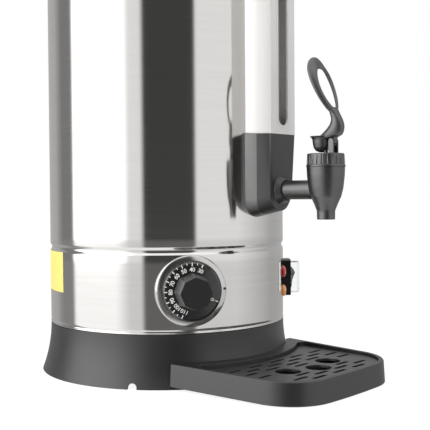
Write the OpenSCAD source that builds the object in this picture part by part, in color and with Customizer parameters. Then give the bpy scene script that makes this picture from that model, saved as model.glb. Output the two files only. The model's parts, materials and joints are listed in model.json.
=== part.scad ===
// Hot water urn with a tap, a sight glass and a removable drip tray.
// Millimetres. The origin is the centre of the base on the table, +Z is up and the tap
// faces -Y. Directions round the body are angles from the tap, positive towards +X.

/* [Body] */
// Outside diameter of the steel body
body_d = 240; // [220:2:280]
// Height of the steel wall above the base
shell_h = 376; // [350:2:460]
// Thickness of the steel sheet
sheet_t = 0.8; // [0.6:0.1:1.2]
// Air gap between the tank and the outer wall
tank_gap = 8.2; // [7:0.2:12]
// Height of the tank floor above the base
tank_floor_h = 82; // [78:1:90]
// Height of the pressed groove above the base
groove_h = 75.7; // [66:0.1:78]
// Width of the pressed groove
groove_w = 7; // [4:0.5:9]
// Depth of the pressed groove
groove_d = 1.7; // [0.8:0.1:2.4]

/* [Base] */
// Height of the base skirt
base_h = 48; // [44:1:60]
// How far the skirt flares out at the table
skirt_flare = 8.8; // [4:0.2:12]
// Wall of the base skirt
skirt_t = 2.6; // [2:0.1:4]
// Width of an air notch in the lower edge
notch_w = 8.6; // [5:0.2:14]
// Height of an air notch
notch_h = 5.4; // [4.4:0.2:10]
// Angle of the two air notches from the tap
notch_angle = 60; // [54:1:75]
// Height of the base plate above the table
plate_z = 6.5; // [5:0.5:9]
// Thickness of the base plate
plate_t = 1.5; // [1:0.25:2.5]
// Number of base screws
base_screw_count = 4; // [3:1:6]

/* [Lid] */
// Height of the lid's dome above its flange
dome_h = 14; // [8:1:24]
// Diameter of the lid knob
lid_knob_d = 42; // [34:1:52]
// Height of the lid knob
lid_knob_h = 27; // [22:1:36]
// Diameter of the steam vent
vent_d = 6; // [4:0.5:9]

/* [Handles] */
// Height of the side handles above the base
handle_h = 335; // [320:1:345]
// Radius of the bow of a side handle
handle_bow_r = 46; // [42:1:50]
// How far the bow's centre lies inside the wall
handle_sink = 14; // [10:1:18]
// Height of the grip's section
handle_bar_h = 20; // [14:1:24]
// Depth of the grip's section
handle_bar_w = 12; // [9:0.5:14]

/* [Tap] */
// Height of the outlet above the base
outlet_h = 130.6; // [124:0.2:150]
// Distance of the tap's axis from the wall
tap_reach = 78.5; // [74:0.5:95]
// Diameter of the tap's neck pipe
neck_d = 17.4; // [16:0.2:20]
// Water bore of the tap
tap_bore = 9; // [7:0.5:10]
// Outside diameter of the nozzle
nozzle_d = 16; // [15:0.5:18]
// Bore of the nozzle
nozzle_bore = 11; // [9:0.5:12]
// Number of grooves round the bonnet
bonnet_grooves = 24; // [12:1:32]
// Diameter of the valve stem
stem_d = 4; // [3.4:0.2:4.4]
// Diameter of the lever pin
pin_d = 3; // [2.5:0.1:3.4]
// Free turns of the valve spring
spring_turns = 5; // [4:1:7]

/* [Sight glass] */
// Distance of the channel's front from the wall
channel_reach = 31.5; // [30:0.5:38]
// Width of the channel
channel_w = 36; // [34:0.5:44]
// Depth of the channel's front part, up to the fold in its sides
channel_depth = 17.4; // [14:0.2:19]
// How far the sides draw in behind the fold
fold_in = 2.6; // [1:0.2:3]
// Space between the upper bracket and the trim at the mouth
sight_gap = 3.5; // [2:0.5:30]
// Width of the slot in the channel
slot_w = 14.5; // [12:0.5:16]
// Diameter of the glass tube
glass_d = 10; // [8:0.5:11]
// Wall of the glass tube
glass_t = 1.2; // [0.8:0.1:1.8]
// Height of the lower bracket below the channel
bracket_len = 77; // [74:1:90]

/* [Controls] */
// Angle of the dial from the tap
dial_angle = -35; // [-50:1:-33]
// Height of the dial above the base
dial_h = 39.7; // [36:0.1:40]
// Diameter of the dial's disc
dial_d = 53.5; // [50:0.5:62]
// Diameter of the dial's bezel
bezel_d = 66; // [64:0.5:70]
// Width of the dial's grip across its flats
grip_w = 27; // [26:0.5:36]
// Height of the dial's grip
grip_h = 26; // [18:1:30]
// Angle of the switch from the tap
switch_angle = 43.5; // [40:0.5:60]
// Height of the switch above the base
switch_h = 40.4; // [38:0.1:42]
// Width of the switch housing
switch_w = 24; // [22:0.5:28]
// Height of the switch housing
switch_len = 37.6; // [36:0.2:40]
// Width of the rocker
rocker_w = 13; // [11:0.5:14]
// Tilt of the rocker at rest
rocker_tilt = 14; // [8:1:15]
// Angle of the pilot lamps from the tap
lamp_angle = 34; // [30:0.5:34.5]
// Diameter of a pilot lamp
lamp_d = 12; // [10:0.5:13]

/* [Drip tray] */
// Height of the tray's wall at the front
tray_h = 20.4; // [16:0.1:26]
// How far the tray's edge stands above the table
tray_lift = 0.6; // [0.4:0.1:2]
// Distance of the tray's front from the wall
tray_reach = 109.6; // [106:0.2:130]
// Half width of the tray at the base
tray_half_back = 90.6; // [86:0.2:96]
// Half width of the tray at its front corners
tray_half_front = 82.6; // [76:0.2:92]
// Radius of the front corners
tray_corner_r = 45; // [24:1:50]
// Width of the tray's rim
rim_w = 4.6; // [3.5:0.1:6]
// Depth of the grille below the rim
grille_drop = 1.9; // [1.5:0.1:5]
// Thickness of the grille
grille_t = 2.4; // [1.8:0.1:3]
// Length of a grille slot
grille_slot = 20; // [12:0.5:21]
// Width of a grille slot
grille_slot_w = 4.2; // [2.4:0.2:4.4]
// Spacing of the slots along a row
slot_pitch = 30.7; // [26:0.1:36]
// Spacing of the rows
row_pitch = 9.4; // [8:0.1:11]
// Diameter of the round drain holes
drain_d = 23.5; // [14:0.5:26]

/* [Hidden] */

$fn = 96;
plastic = "#33302e";
steel = "#c9c6c2";
brass = "#b9985a";
silicone = "#d8d4cc";
eps = 0.02;
seat = 0.3;        // gap between pieces that must stay free of each other
run_fit = 0.05;    // radial gap of a running fit

body_r = body_d / 2;
shell_in = body_r - sheet_t;
tank_r = body_r - tank_gap - sheet_t;
tank_in = tank_r - sheet_t;
rim_z = base_h + shell_h;
floor_z = base_h + tank_floor_h;
groove_z = base_h + groove_h;
outlet_z = base_h + outlet_h;

// ---------------------------------------------------------------- shared shapes

// Points along an arc about (cx, cy)
function arc(cx, cy, r, a0, a1, n) =
    [for (i = [0:n]) let (a = a0 + (a1 - a0) * i / n) [cx + r * cos(a), cy + r * sin(a)]];

// Closed solid through rings that have the same number of points
module loft(rings) {
    n = len(rings[0]);
    m = len(rings);
    points = [for (ring = rings) for (p = ring) p];
    sides = [for (i = [0:m - 2]) for (j = [0:n - 1]) let (k = (j + 1) % n)
        for (t = [[i * n + j, (i + 1) * n + k, i * n + k],
                  [i * n + j, (i + 1) * n + j, (i + 1) * n + k]]) t];
    first = [for (j = [0:n - 1]) j];
    last = [for (j = [n - 1:-1:0]) (m - 1) * n + j];
    polyhedron(points, concat([first], sides, [last]));
}

// Closed loop through rings, the last ring joining the first
module closed_loft(rings) {
    n = len(rings[0]);
    m = len(rings);
    points = [for (ring = rings) for (p = ring) p];
    polyhedron(points, [for (i = [0:m - 1]) for (j = [0:n - 1])
        let (k = (j + 1) % n, b = (i + 1) % m)
        for (t = [[i * n + j, b * n + k, i * n + k], [i * n + j, b * n + j, b * n + k]]) t]);
}

function unit(v) = v / norm(v);

// Ring of points round a centre, on the half axes u and v
function oval_ring(c, u, v, n) =
    [for (i = [0:n - 1]) let (a = 360 * i / n) c + u * cos(a) + v * sin(a)];

// Round tube along a path
module tube(path, d, sides) {
    last = len(path) - 1;
    loft([for (i = [0:last])
        let (t = unit(path[min(i + 1, last)] - path[max(i - 1, 0)]),
             side = unit(cross(t, abs(t[2]) > 0.95 ? [1, 0, 0] : [0, 0, 1])),
             up = cross(side, t))
        oval_ring(path[i], up * d / 2, side * d / 2, sides)]);
}

// Local frame at a height and an angle from the tap, +X pointing out of the body
module at(angle, z) {
    rotate([0, 0, angle - 90]) translate([0, 0, z]) children();
}

// Cylinder along the local X axis
module along(d, x0, x1) {
    translate([x0, 0, 0]) rotate([0, 90, 0]) cylinder(d = d, h = x1 - x0);
}

// Box given by its low and high corners
module span(a, b) {
    translate(a) cube(b - a);
}

// Hexagon prism along the local X axis, w across its flats
module hex_along(w, x0, x1) {
    translate([x0, 0, 0]) rotate([0, 90, 0]) cylinder(d = w / cos(30), h = x1 - x0, $fn = 6);
}

// Rectangle with round corners, centred
module round_rect(w, h, r) {
    polygon(concat(arc(w / 2 - r, h / 2 - r, r, 0, 90, 6), arc(r - w / 2, h / 2 - r, r, 90, 180, 6),
        arc(r - w / 2, r - h / 2, r, 180, 270, 6), arc(w / 2 - r, r - h / 2, r, 270, 360, 6)));
}

// Screw along the local X axis with its head at x0 and its tip at x1
module screw(x0, x1, d, head_d, head_h) {
    towards = x1 > x0 ? 1 : -1;
    difference() {
        union() {
            along(head_d, min(x0, x0 + towards * head_h), max(x0, x0 + towards * head_h));
            along(d, min(x0, x1), max(x0, x1));
        }
        for (turn = [0, 90])
            rotate([turn, 0, 0])
                span([x0 - head_h * 0.45, -0.4, -head_d * 0.32],
                     [x0 + head_h * 0.45, 0.4, head_d * 0.32]);
    }
}

// ---------------------------------------------------------------- base

flare_r = (base_h * base_h + skirt_flare * skirt_flare) / (2 * skirt_flare);
function skirt_r(z) =
    body_r + flare_r - sqrt(flare_r * flare_r - (base_h - z) * (base_h - z));
skirt_steps = 12;
skirt_top_t = 2.6;
register_h = 8;
register_t = 2.4;

// Solid of revolution of the skirt's outside, grown by a clearance
module skirt_envelope(grow) {
    rotate_extrude($fn = 180)
        polygon(concat([[0, -5], [skirt_r(0) + grow, -5]],
            [for (i = [0:skirt_steps]) let (z = base_h * i / skirt_steps)
                [skirt_r(z) + grow, z]],
            [[0, base_h]]));
}

boss_r = body_r - 15;
boss_d = 11;
base_screw_d = 3.9;
base_screw_grip = 13;
base_head_d = 7.6;
base_head_h = 2.2;
function base_screw_angle(i) = 45 + 360 * i / base_screw_count;

gland_z = 24;
gland_pad_out = body_r + 6.4;
gland_pad_in = body_r - 2;
gland_pad_d = 26;
gland_d = 12;

hook_x = 34;
hook_w = 16;
hook_t = 2.4;
hook_z = 9;
hook_len = 9;

module base_skirt() color(plastic) difference() {
    union() {
        rotate_extrude($fn = 180)
            polygon(concat(
                [for (i = [0:skirt_steps]) let (z = base_h * i / skirt_steps) [skirt_r(z), z]],
                [[shell_in - seat, base_h], [shell_in - seat, base_h + register_h],
                 [shell_in - seat - register_t, base_h + register_h],
                 [shell_in - seat - register_t, base_h],
                 [boss_r - boss_d / 2, base_h], [boss_r - boss_d / 2, base_h - skirt_top_t]],
                [for (i = [skirt_steps - 1:-1:0]) let (z = base_h * i / skirt_steps)
                    [skirt_r(z) - skirt_t, z]]));
        for (i = [0:base_screw_count - 1])
            at(base_screw_angle(i), plate_z + plate_t)
                translate([boss_r, 0, 0]) cylinder(d = boss_d, h = base_h - plate_z - plate_t - 1);
        at(180, gland_z) intersection() {
            along(gland_pad_d, gland_pad_in, gland_pad_out);
            span([gland_pad_in, -gland_pad_d, -gland_z + 2], [gland_pad_out, gland_pad_d, base_h]);
        }
    }
    for (side = [-1, 1]) at(side * notch_angle, notch_h - notch_w / 2) {
        along(notch_w, body_r - 4, skirt_r(0) + 5);
        span([body_r - 4, -notch_w / 2, -notch_w], [skirt_r(0) + 5, notch_w / 2, 0]);
    }
    for (i = [0:base_screw_count - 1])
        at(base_screw_angle(i), plate_z + plate_t - eps)
            translate([boss_r, 0, 0]) cylinder(r = base_screw_d / 2 + run_fit, h = 16, $fn = 32);
    at(180, gland_z) along(gland_d + 2 * seat, gland_pad_in - 9, gland_pad_out + eps);
    for (side = [-1, 1])
        translate([side * hook_x, 0, hook_z])
            span([-hook_w / 2 - seat, -skirt_r(0) - 2, -seat],
                 [hook_w / 2 + seat, -body_r + 16, hook_t + seat]);
}

plate_r = skirt_r(plate_z) - skirt_t - 1.2;
stiff_r = 18;
stiff_w = 16;
stiff_h = 1.6;
vent_slots = 10;
vent_slot_r = 76;
vent_slot_len = 18;
reset_x = 52;
reset_y = 30;
reset_pin_d = 6;

module base_plate() color("#8d8f90") difference() {
    translate([0, 0, plate_z]) union() {
        cylinder(r = plate_r, h = plate_t, $fn = 180);
        rotate_extrude() translate([stiff_r, 0]) square([stiff_w, plate_t + stiff_h]);
    }
    translate([0, 0, plate_z - eps])
        rotate_extrude() translate([stiff_r + plate_t, 0]) square([stiff_w - 2 * plate_t, stiff_h + eps]);
    for (i = [0:base_screw_count - 1])
        at(base_screw_angle(i), plate_z - 1)
            translate([boss_r, 0, 0]) cylinder(d = base_screw_d + 0.6, h = plate_t + 2, $fn = 32);
    for (i = [0:vent_slots - 1])
        at(18 + 360 * i / vent_slots, plate_z - 1)
            span([vent_slot_r, -2, 0], [vent_slot_r + vent_slot_len, 2, plate_t + 2]);
    translate([0, 0, plate_z - 1]) cylinder(d = tie_d + 0.6, h = plate_t + 2, $fn = 32);
    translate([reset_x, reset_y, plate_z - 1])
        cylinder(d = reset_pin_d + 2 * seat, h = 6, $fn = 32);
}

module base_screws() color("#9a9a98")
    for (i = [0:base_screw_count - 1])
        at(base_screw_angle(i), 0) translate([boss_r, 0, plate_z - base_head_h]) rotate([0, -90, 0])
            screw(0, base_head_h + plate_t + base_screw_grip, base_screw_d, base_head_d, base_head_h);

tie_d = 6;
tie_head_d = 22;
tie_head_h = 1.2;
tie_nut_w = 10;
tie_nut_h = 3.2;

// Stud under the tank that pulls the whole body down onto the base plate
module tie_rod() color("#a8a8a6") {
    translate([0, 0, plate_z - tie_nut_h - 0.8])
        cylinder(d = tie_d, h = floor_z - plate_z + tie_nut_h + 0.8 - tie_head_h, $fn = 40);
    translate([0, 0, floor_z - tie_head_h]) cylinder(d = tie_head_d, h = tie_head_h);
}

module tie_nut() color("#a8a8a6") difference() {
    union() {
        translate([0, 0, plate_z - tie_nut_h])
            cylinder(d = tie_nut_w / cos(30), h = tie_nut_h - 0.8, $fn = 6);
        translate([0, 0, plate_z - 0.8]) cylinder(d = 16, h = 0.8);
    }
    translate([0, 0, plate_z - tie_nut_h - 1]) cylinder(r = tie_d / 2 + run_fit, h = 8, $fn = 40);
}

// ---------------------------------------------------------------- body

hem_h = 2;
hem_out = 0.25;

// Outside line of the wall, from the hem up to the rim
function wall_line(r) = [
    [r + hem_out, base_h], [r + hem_out, base_h + hem_h], [r - 0.5, base_h + hem_h + 1],
    [r - 0.5, base_h + hem_h + 2.2], [r, base_h + hem_h + 3.4],
    [r, groove_z - groove_w / 2], [r - groove_d, groove_z], [r, groove_z + groove_w / 2],
    [r, rim_z]];

module outer_shell() color(steel) difference() {
    rotate_extrude($fn = 180)
        polygon(concat(wall_line(body_r),
            [[shell_in, rim_z], [shell_in, groove_z + groove_w / 2],
             [shell_in - groove_d, groove_z], [shell_in, groove_z - groove_w / 2],
             [shell_in, base_h]]));
    at(0, outlet_z) along(tee_d + 2 * seat, body_r - 8, body_r + 4);
    at(dial_angle, base_h + dial_h) along(spindle_collar_d + 2 * seat, body_r - 6, body_r + 4);
    at(switch_angle, base_h + switch_h)
        span([body_r - 8, -switch_in_w / 2 - seat, -switch_in_h / 2 - seat],
             [body_r + 4, switch_in_w / 2 + seat, switch_in_h / 2 + seat]);
    for (z = lamp_heights)
        at(lamp_angle, z) along(lamp_d - 2 + 2 * seat, body_r - 6, body_r + 4);
    for (p = bracket_screw_spots)
        translate([p[0], 0, p[1]]) at(0, 0) along(bracket_screw_d + 0.6, body_r - 8, body_r + 4);
    for (side = [-1, 1], y = [-1, 1])
        at(90 * side, handle_z) translate([0, y * handle_foot_y, 0])
            along(handle_screw_d + 0.6, body_r - 12, body_r + 4);
}

tank_corner = 10;

module inner_tank() color(steel) difference() {
    rotate_extrude($fn = 180)
        polygon(concat(
            [[0, floor_z]], arc(tank_r - tank_corner, floor_z + tank_corner, tank_corner, -90, 0, 8),
            [[tank_r, rim_z], [body_r, rim_z], [body_r, rim_z + sheet_t],
             [tank_in, rim_z + sheet_t]],
            arc(tank_r - tank_corner, floor_z + tank_corner, tank_corner - sheet_t, 0, -90, 8),
            [[0, floor_z + sheet_t]]));
    at(0, outlet_z) along(tee_d + 2 * seat, tank_in - 6, tank_r + 4);
}

rim_over = 1.4;
rim_h = 6;
rim_skirt = 9;
mouth_r = tank_in - 3.2;

// Rolled trim that closes the two walls at the mouth
module top_rim() color(steel) rotate_extrude($fn = 180)
    polygon(concat(
        [[body_r + 0.1, rim_z - rim_skirt], [body_r + rim_over, rim_z - rim_skirt]],
        arc(body_r + rim_over - rim_h, rim_z + sheet_t, rim_h, 0, 90, 6),
        arc(mouth_r + rim_h - 1, rim_z + sheet_t, rim_h, 90, 180, 6),
        [[mouth_r - 1, rim_z - 4], [mouth_r, rim_z - 4], [mouth_r, rim_z + sheet_t],
         [body_r + 0.1, rim_z + sheet_t]]));

// ---------------------------------------------------------------- lid

lid_z = rim_z + sheet_t + rim_h;      // top of the rim
seal_t = 2;
lid_base_z = lid_z + seat + seal_t;
lid_r = body_r - 2.5;
plug_r = mouth_r - 1 - 2.4;
plug_h = 14;
seal_in = plug_r + 1;

module lid() color(steel) difference() {
    union() {
        rotate_extrude($fn = 180)
            polygon(concat(
                [[lid_r - 1.2, lid_base_z - 1.4], [lid_r, lid_base_z - 1.4],
                 [lid_r, lid_base_z + 0.6], [lid_r - 1, lid_base_z + 1.2]],
                [for (i = [0:10]) let (t = i / 10) [(lid_r - 6) * (1 - t) + 10 * t,
                    lid_base_z + 1.2 + dome_h * sin(90 * t)]],
                [[0, lid_base_z + 1.2 + dome_h], [0, lid_base_z + 0.2 + dome_h]],
                [for (i = [10:-1:0]) let (t = i / 10) [(lid_r - 6) * (1 - t) + 10 * t - 0.4,
                    lid_base_z + 0.2 + dome_h * sin(90 * t)]],
                [[lid_r - 9, lid_base_z], [lid_r - 1.2, lid_base_z]]));
        rotate_extrude($fn = 180)
            translate([plug_r - 0.8, lid_z - plug_h]) square([0.8, plug_h + seat + seal_t + 2.2]);
    }
    translate([0, 0, lid_base_z]) cylinder(d = knob_screw_d + 0.6, h = dome_h + 6, $fn = 32);
    at(180, lid_base_z) translate([lid_r * 0.55, 0, 0]) cylinder(d = vent_d, h = dome_h + 6, $fn = 32);
}

module lid_seal() color(silicone) rotate_extrude($fn = 180)
    translate([seal_in, lid_z + seat]) square([lid_r - 2.4 - seal_in, seal_t]);

knob_screw_d = 4.8;
knob_z = lid_base_z + 1.2 + dome_h;

module lid_knob() color(plastic) difference() {
    rotate_extrude()
        polygon(concat(
            [[0, knob_z], [lid_knob_d * 0.36, knob_z], [lid_knob_d * 0.34, knob_z + 2],
             [lid_knob_d * 0.22, knob_z + 6], [lid_knob_d * 0.22, knob_z + lid_knob_h * 0.42]],
            arc(lid_knob_d / 2 - 4, knob_z + lid_knob_h - 9, 4, -70, 0, 4),
            arc(lid_knob_d / 2 - 9, knob_z + lid_knob_h - 9, 9, 0, 80, 6),
            [[0, knob_z + lid_knob_h + 0.6]]));
    translate([0, 0, knob_z - eps]) cylinder(r = knob_screw_d / 2 + run_fit, h = 16, $fn = 32);
}

module lid_knob_screw() color("#a8a8a6")
    translate([0, 0, knob_z - 1 - 3]) rotate([0, -90, 0]) union() {
        screw(0, 3 + 1 + 14, knob_screw_d, 10, 3);
        along(20, 2.2, 3);
    }

// ---------------------------------------------------------------- side handles

handle_z = base_h + handle_h;
handle_cx = body_r - handle_sink;
handle_foot_a = acos(handle_sink / handle_bow_r);
handle_foot_y = handle_bow_r * sin(handle_foot_a) - 2.5;
handle_screw_d = 4.2;
foot_d = 22;
foot_h = 5;
foot_in = sqrt(body_r * body_r - handle_foot_y * handle_foot_y);

// Bow of bakelite on two round feet that sit on the wall
module handle(side) color(plastic) at(90 * side, handle_z) difference() {
    union() {
        intersection() {
            translate([handle_cx, 0, 0]) rotate([0, 0, -100]) rotate_extrude(angle = 200)
                translate([handle_bow_r, 0]) round_rect(handle_bar_w, handle_bar_h, 4.5);
            span([foot_in, -80, -30], [body_r + 60, 80, 30]);
        }
        for (y = [-1, 1])
            translate([0, y * handle_foot_y, 0]) along(foot_d, foot_in - 3, foot_in + foot_h + 6);
    }
    translate([0, 0, -40]) cylinder(r = body_r, h = 80, $fn = 180);
    for (y = [-1, 1])
        translate([0, y * handle_foot_y, 0])
            along(handle_screw_d + 2 * run_fit, foot_in - 4, foot_in + foot_h + 2);
}

module handle_left() handle(-1);
module handle_right() handle(1);

shell_in_foot = sqrt(pow(shell_in, 2) - pow(handle_foot_y + 4, 2));

module handle_screws() color("#a8a8a6")
    for (side = [-1, 1], y = [-1, 1])
        at(90 * side, handle_z) translate([0, y * handle_foot_y, 0])
            screw(shell_in_foot - 2, foot_in + foot_h + 1, handle_screw_d, 7.6, 2);

// ---------------------------------------------------------------- heating

heater_plate_t = 4;
heater_plate_r = 92;
heater_hole_r = 30;
heater_ring_r = 68;
heater_tube_d = 8.5;
heater_pin_len = 16;
heater_z = floor_z - heater_plate_t;
dry_angle = 200;
dry_r = 82;

module heater_plate() color("#b4b6b8") rotate_extrude()
    translate([heater_hole_r, heater_z])
        square([heater_plate_r - heater_hole_r, heater_plate_t]);

module heater_ring() color("#7c7a76") {
    translate([0, 0, heater_z - heater_tube_d / 2]) {
        rotate([0, 0, 108]) rotate_extrude(angle = 324)
            translate([heater_ring_r, 0]) circle(d = heater_tube_d, $fn = 32);
        for (a = [72, 108])
            rotate([0, 0, a]) translate([heater_ring_r, 0, 0]) {
                sphere(d = heater_tube_d, $fn = 32);
                translate([0, 0, -heater_pin_len]) cylinder(d = 5, h = heater_pin_len, $fn = 24);
            }
    }
}

// Disc thermostat that stops the heater when the tank is dry
module dry_cutout() color("#2e2c2b") at(dry_angle, 0) translate([dry_r, 0, 0]) {
    translate([0, 0, heater_z - 7]) cylinder(d = 16, h = 7);
    translate([0, 0, heater_z - 13]) cylinder(d = 12, h = 6);
    for (y = [-4, 4]) span([-3, y - 0.4, heater_z - 19], [3, y + 0.4, heater_z - 13]);
}

reset_z = plate_z + plate_t;
reset_travel = 1.5;
reset_h = 13;

// Housing of the cut-out that is reset by hand from below
module reset_cutout() color("#2e2c2b") translate([reset_x, reset_y, reset_z]) difference() {
    union() {
        cylinder(d = 24, h = reset_h);
        for (y = [-5, 5]) span([-3, y - 0.4, reset_h], [3, y + 0.4, reset_h + 7]);
    }
    translate([0, 0, -eps]) cylinder(r = reset_pin_d / 2 + run_fit, h = 3, $fn = 32);
    translate([0, 0, 2.5]) cylinder(d = 10, h = 7, $fn = 32);
}

module reset_button() color("#b8322a") translate([reset_x, reset_y, 0]) {
    translate([0, 0, plate_z - 2.6]) cylinder(d = reset_pin_d, h = reset_z - plate_z + 5.2, $fn = 32);
    translate([0, 0, reset_z + 2.6]) cylinder(d = 9, h = 2, $fn = 32);
}

// ---------------------------------------------------------------- thermostat and dial

spindle_d = 6;
spindle_collar_d = 11;
thermo_out = body_r - 7.5;
thermo_in = body_r - 30;
thermo_w = 38;
thermo_h = 34;
bulb_d = 6;
bulb_len = 46;
bulb_r = 99;
bulb_z = floor_z - bulb_d / 2;
capillary_d = 1.8;

module thermostat_body() color("#d9d5c8") at(dial_angle, base_h + dial_h) difference() {
    union() {
        span([thermo_in, -thermo_w / 2, -thermo_h / 2], [thermo_out, thermo_w / 2, thermo_h / 2]);
        along(spindle_collar_d, thermo_out - 1, body_r + bezel_floor - 0.4);
    }
    along(spindle_d + 2 * run_fit, thermo_out - 12, body_r + 6);
}

module thermostat_spindle() color("#a8a8a6") at(dial_angle, base_h + dial_h) difference() {
    along(spindle_d, thermo_out - 11, knob_face + 14);
    span([knob_face + 2, 1.8, -4], [knob_face + 15, 4, 4]);
}

// Sensing bulb under the tank floor and the thin tube that runs to it
module capillary() color(brass) {
    rotate([0, 0, dial_angle - 90 - 40]) translate([bulb_r, 0, bulb_z]) rotate([90, 0, 0])
        cylinder(d = bulb_d, h = bulb_len, center = true, $fn = 32);
    tube([for (i = [0:12])
            let (t = i / 12, a = dial_angle - 90 - 40 + 12 + 28 * t - 12 * sin(180 * t) * (1 - t),
                 r = bulb_r + (thermo_in + 10 - bulb_r) * t)
            [r * cos(a), r * sin(a),
             bulb_z + (base_h + dial_h + thermo_h / 2 - bulb_z) * t * t]],
        capillary_d, 8);
}

bezel_floor = 2.2;
bezel_face = body_r + 3.1;
bezel_gap = 0.8;        // clearance round the dial's disc
knob_face = body_r + bezel_floor + 0.6;
disc_t = 3;
grip_taper = 0.8;

// Chrome dish behind the dial: a rounded rim about a flat floor, cut to the curve of the wall
module dial_bezel() color("#d6d4d1") at(dial_angle, base_h + dial_h) difference() {
    floor_z = body_r + bezel_floor;
    rim_in = dial_d / 2 + bezel_gap;
    rim_w = bezel_d / 2 - rim_in;
    rotate([0, 90, 0]) rotate_extrude()
        polygon(concat(
            [[spindle_collar_d / 2 + seat, body_r - 8], [bezel_d / 2, body_r - 8]],
            [for (i = [0:8]) let (a = i * 18)
                [rim_in + rim_w * (1 + cos(a)) / 2, floor_z - 1 + (bezel_face - floor_z + 1) * sin(a)]],
            [[rim_in, floor_z], [spindle_collar_d / 2 + seat, floor_z]]));
    translate([0, 0, -base_h - dial_h]) cylinder(r = body_r, h = rim_z, $fn = 180);
}

module dial_knob() color("#1d1c1c") at(dial_angle, base_h + dial_h) difference() {
    union() {
        rotate([0, 90, 0]) rotate_extrude()
            polygon([[0, knob_face], [dial_d / 2 - 0.8, knob_face], [dial_d / 2, knob_face + 0.8],
                [dial_d / 2, knob_face + disc_t - 1.2], [dial_d / 2 - 1.6, knob_face + disc_t],
                [0, knob_face + disc_t]]);
        translate([knob_face + disc_t - 0.5, 0, 0]) rotate([0, 90, 0])
            cylinder(d1 = grip_w / cos(22.5), d2 = (grip_w - grip_taper) / cos(22.5), h = grip_h,
                $fn = 8);
    }
    along(spindle_d + 2 * run_fit, knob_face - 1, knob_face + 15);
}

// ---------------------------------------------------------------- switch and lamps

switch_face = body_r + 7.6;
pivot_x = body_r - 1.5;
rocker_tip_out = 12.6;
rocker_tip_up = 7.8;
rocker_r = norm([rocker_tip_out, rocker_tip_up]);
well_r = rocker_r + seat;
switch_in_w = rocker_w + 2 * seat + 4;
switch_in_h = 2 * well_r + 2.6;
housing_back = pivot_x - well_r - 2;
cover_out = body_r + 17.5;
cover_h = 32;
cover_w = 21;
cover_t = 1;

module switch_housing() color("#1f1d1c") at(switch_angle, base_h + switch_h) difference() {
    union() {
        difference() {
            rotate([0, 90, 0]) translate([0, 0, body_r - 3]) linear_extrude(switch_face - body_r + 3)
                round_rect(switch_len, switch_w, 3);
            translate([0, 0, -60]) cylinder(r = body_r, h = 120, $fn = 180);
        }
        span([housing_back, -switch_in_w / 2, -switch_in_h / 2],
             [switch_face - 1, switch_in_w / 2, switch_in_h / 2]);
        for (z = [-10, 0, 10]) span([housing_back - 7, -3, z - 0.4], [housing_back, 3, z + 0.4]);
    }
    translate([pivot_x, 0, 0]) rotate([90, 0, 0])
        cylinder(r = well_r, h = rocker_w + 2 * seat, center = true);
    translate([pivot_x, 0, 0]) rotate([90, 0, 0])
        cylinder(r = 1.6 + run_fit, h = rocker_w + 2 * seat + 2.4, center = true, $fn = 32);
}

tip_angle = atan2(rocker_tip_up, rocker_tip_out);
heel_angle = 66;

module switch_rocker() color("#3b3a38") at(switch_angle, base_h + switch_h)
    translate([pivot_x, 0, 0]) rotate([0, rocker_tilt, 0]) rotate([90, 0, 0]) {
        translate([0, 0, -rocker_w / 2]) linear_extrude(rocker_w)
            polygon(concat([[2, -6]], arc(0, 0, rocker_r, -heel_angle, -tip_angle, 6),
                [[rocker_tip_out - 1, 0]], arc(0, 0, rocker_r, tip_angle, heel_angle, 6),
                [[2, 6], [-3, 2.5], [-3, -2.5]]));
        cylinder(d = 3.2, h = rocker_w + 2 * seat + 2, center = true, $fn = 32);
    }

// Clear splash cover over the rocker
module switch_cover() color([0.9, 0.92, 0.92, 0.35]) at(switch_angle, base_h + switch_h)
    rotate([0, 90, 0]) difference() {
        translate([0, 0, switch_face]) linear_extrude(cover_out - switch_face)
            round_rect(cover_h, cover_w, 4);
        translate([0, 0, switch_face - eps]) linear_extrude(cover_out - switch_face - cover_t)
            round_rect(cover_h - 2 * cover_t, cover_w - 2 * cover_t, 3);
    }

lamp_heights = [base_h + switch_h + 7.2, base_h + switch_h - 12.4];

// Lens with a low dome, its barrel through the wall
module lamp(z) at(lamp_angle, z) {
    along(lamp_d - 2, body_r - 12, body_r);
    rotate([0, 90, 0]) rotate_extrude()
        polygon(concat([[0, body_r - eps], [lamp_d / 2, body_r + 0.25], [lamp_d / 2, body_r + 1]],
            [for (i = [1:6]) [lamp_d / 2 * cos(15 * i), body_r + 1 + 2.6 * sin(15 * i)]]));
}

module lamp_red() color("#a81d1d") lamp(lamp_heights[0]);
module lamp_amber() color("#d9923c") lamp(lamp_heights[1]);

// ---------------------------------------------------------------- sight glass

channel_face = body_r + channel_reach;
fold_r = channel_face - channel_depth;
upper_len = 26;
channel_z0 = outlet_z + 51.4;
channel_z1 = rim_z - rim_skirt - sight_gap - upper_len;
slot_z0 = channel_z0 + 8;
slot_z1 = channel_z1 - 10;
slot_edge = 1.6;
bead_w = 2;
bead_h = 0.5;
end_slope = 0.07;      // rise of the channel's lower end from its front to the wall
front_slope = 0.02;    // lean of a bracket's front
glass_r = channel_face - 10.4;
branch_d = glass_d + 4.8;
socket_wall = 1.2;
branch_z1 = channel_z0 + 16;
socket_h = 14;
seal_h = 9;
glass_z0 = branch_z1 - socket_h;
glass_z1 = channel_z1 + 9;

// Slot with round ends, along the local X axis
module round_slot(w, x0, x1, z0, z1) {
    span([x0, -w / 2, z0 + w / 2], [x1, w / 2, z1 - w / 2]);
    for (z = [z0 + w / 2, z1 - w / 2]) translate([0, 0, z]) along(w, x0, x1);
}

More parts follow.
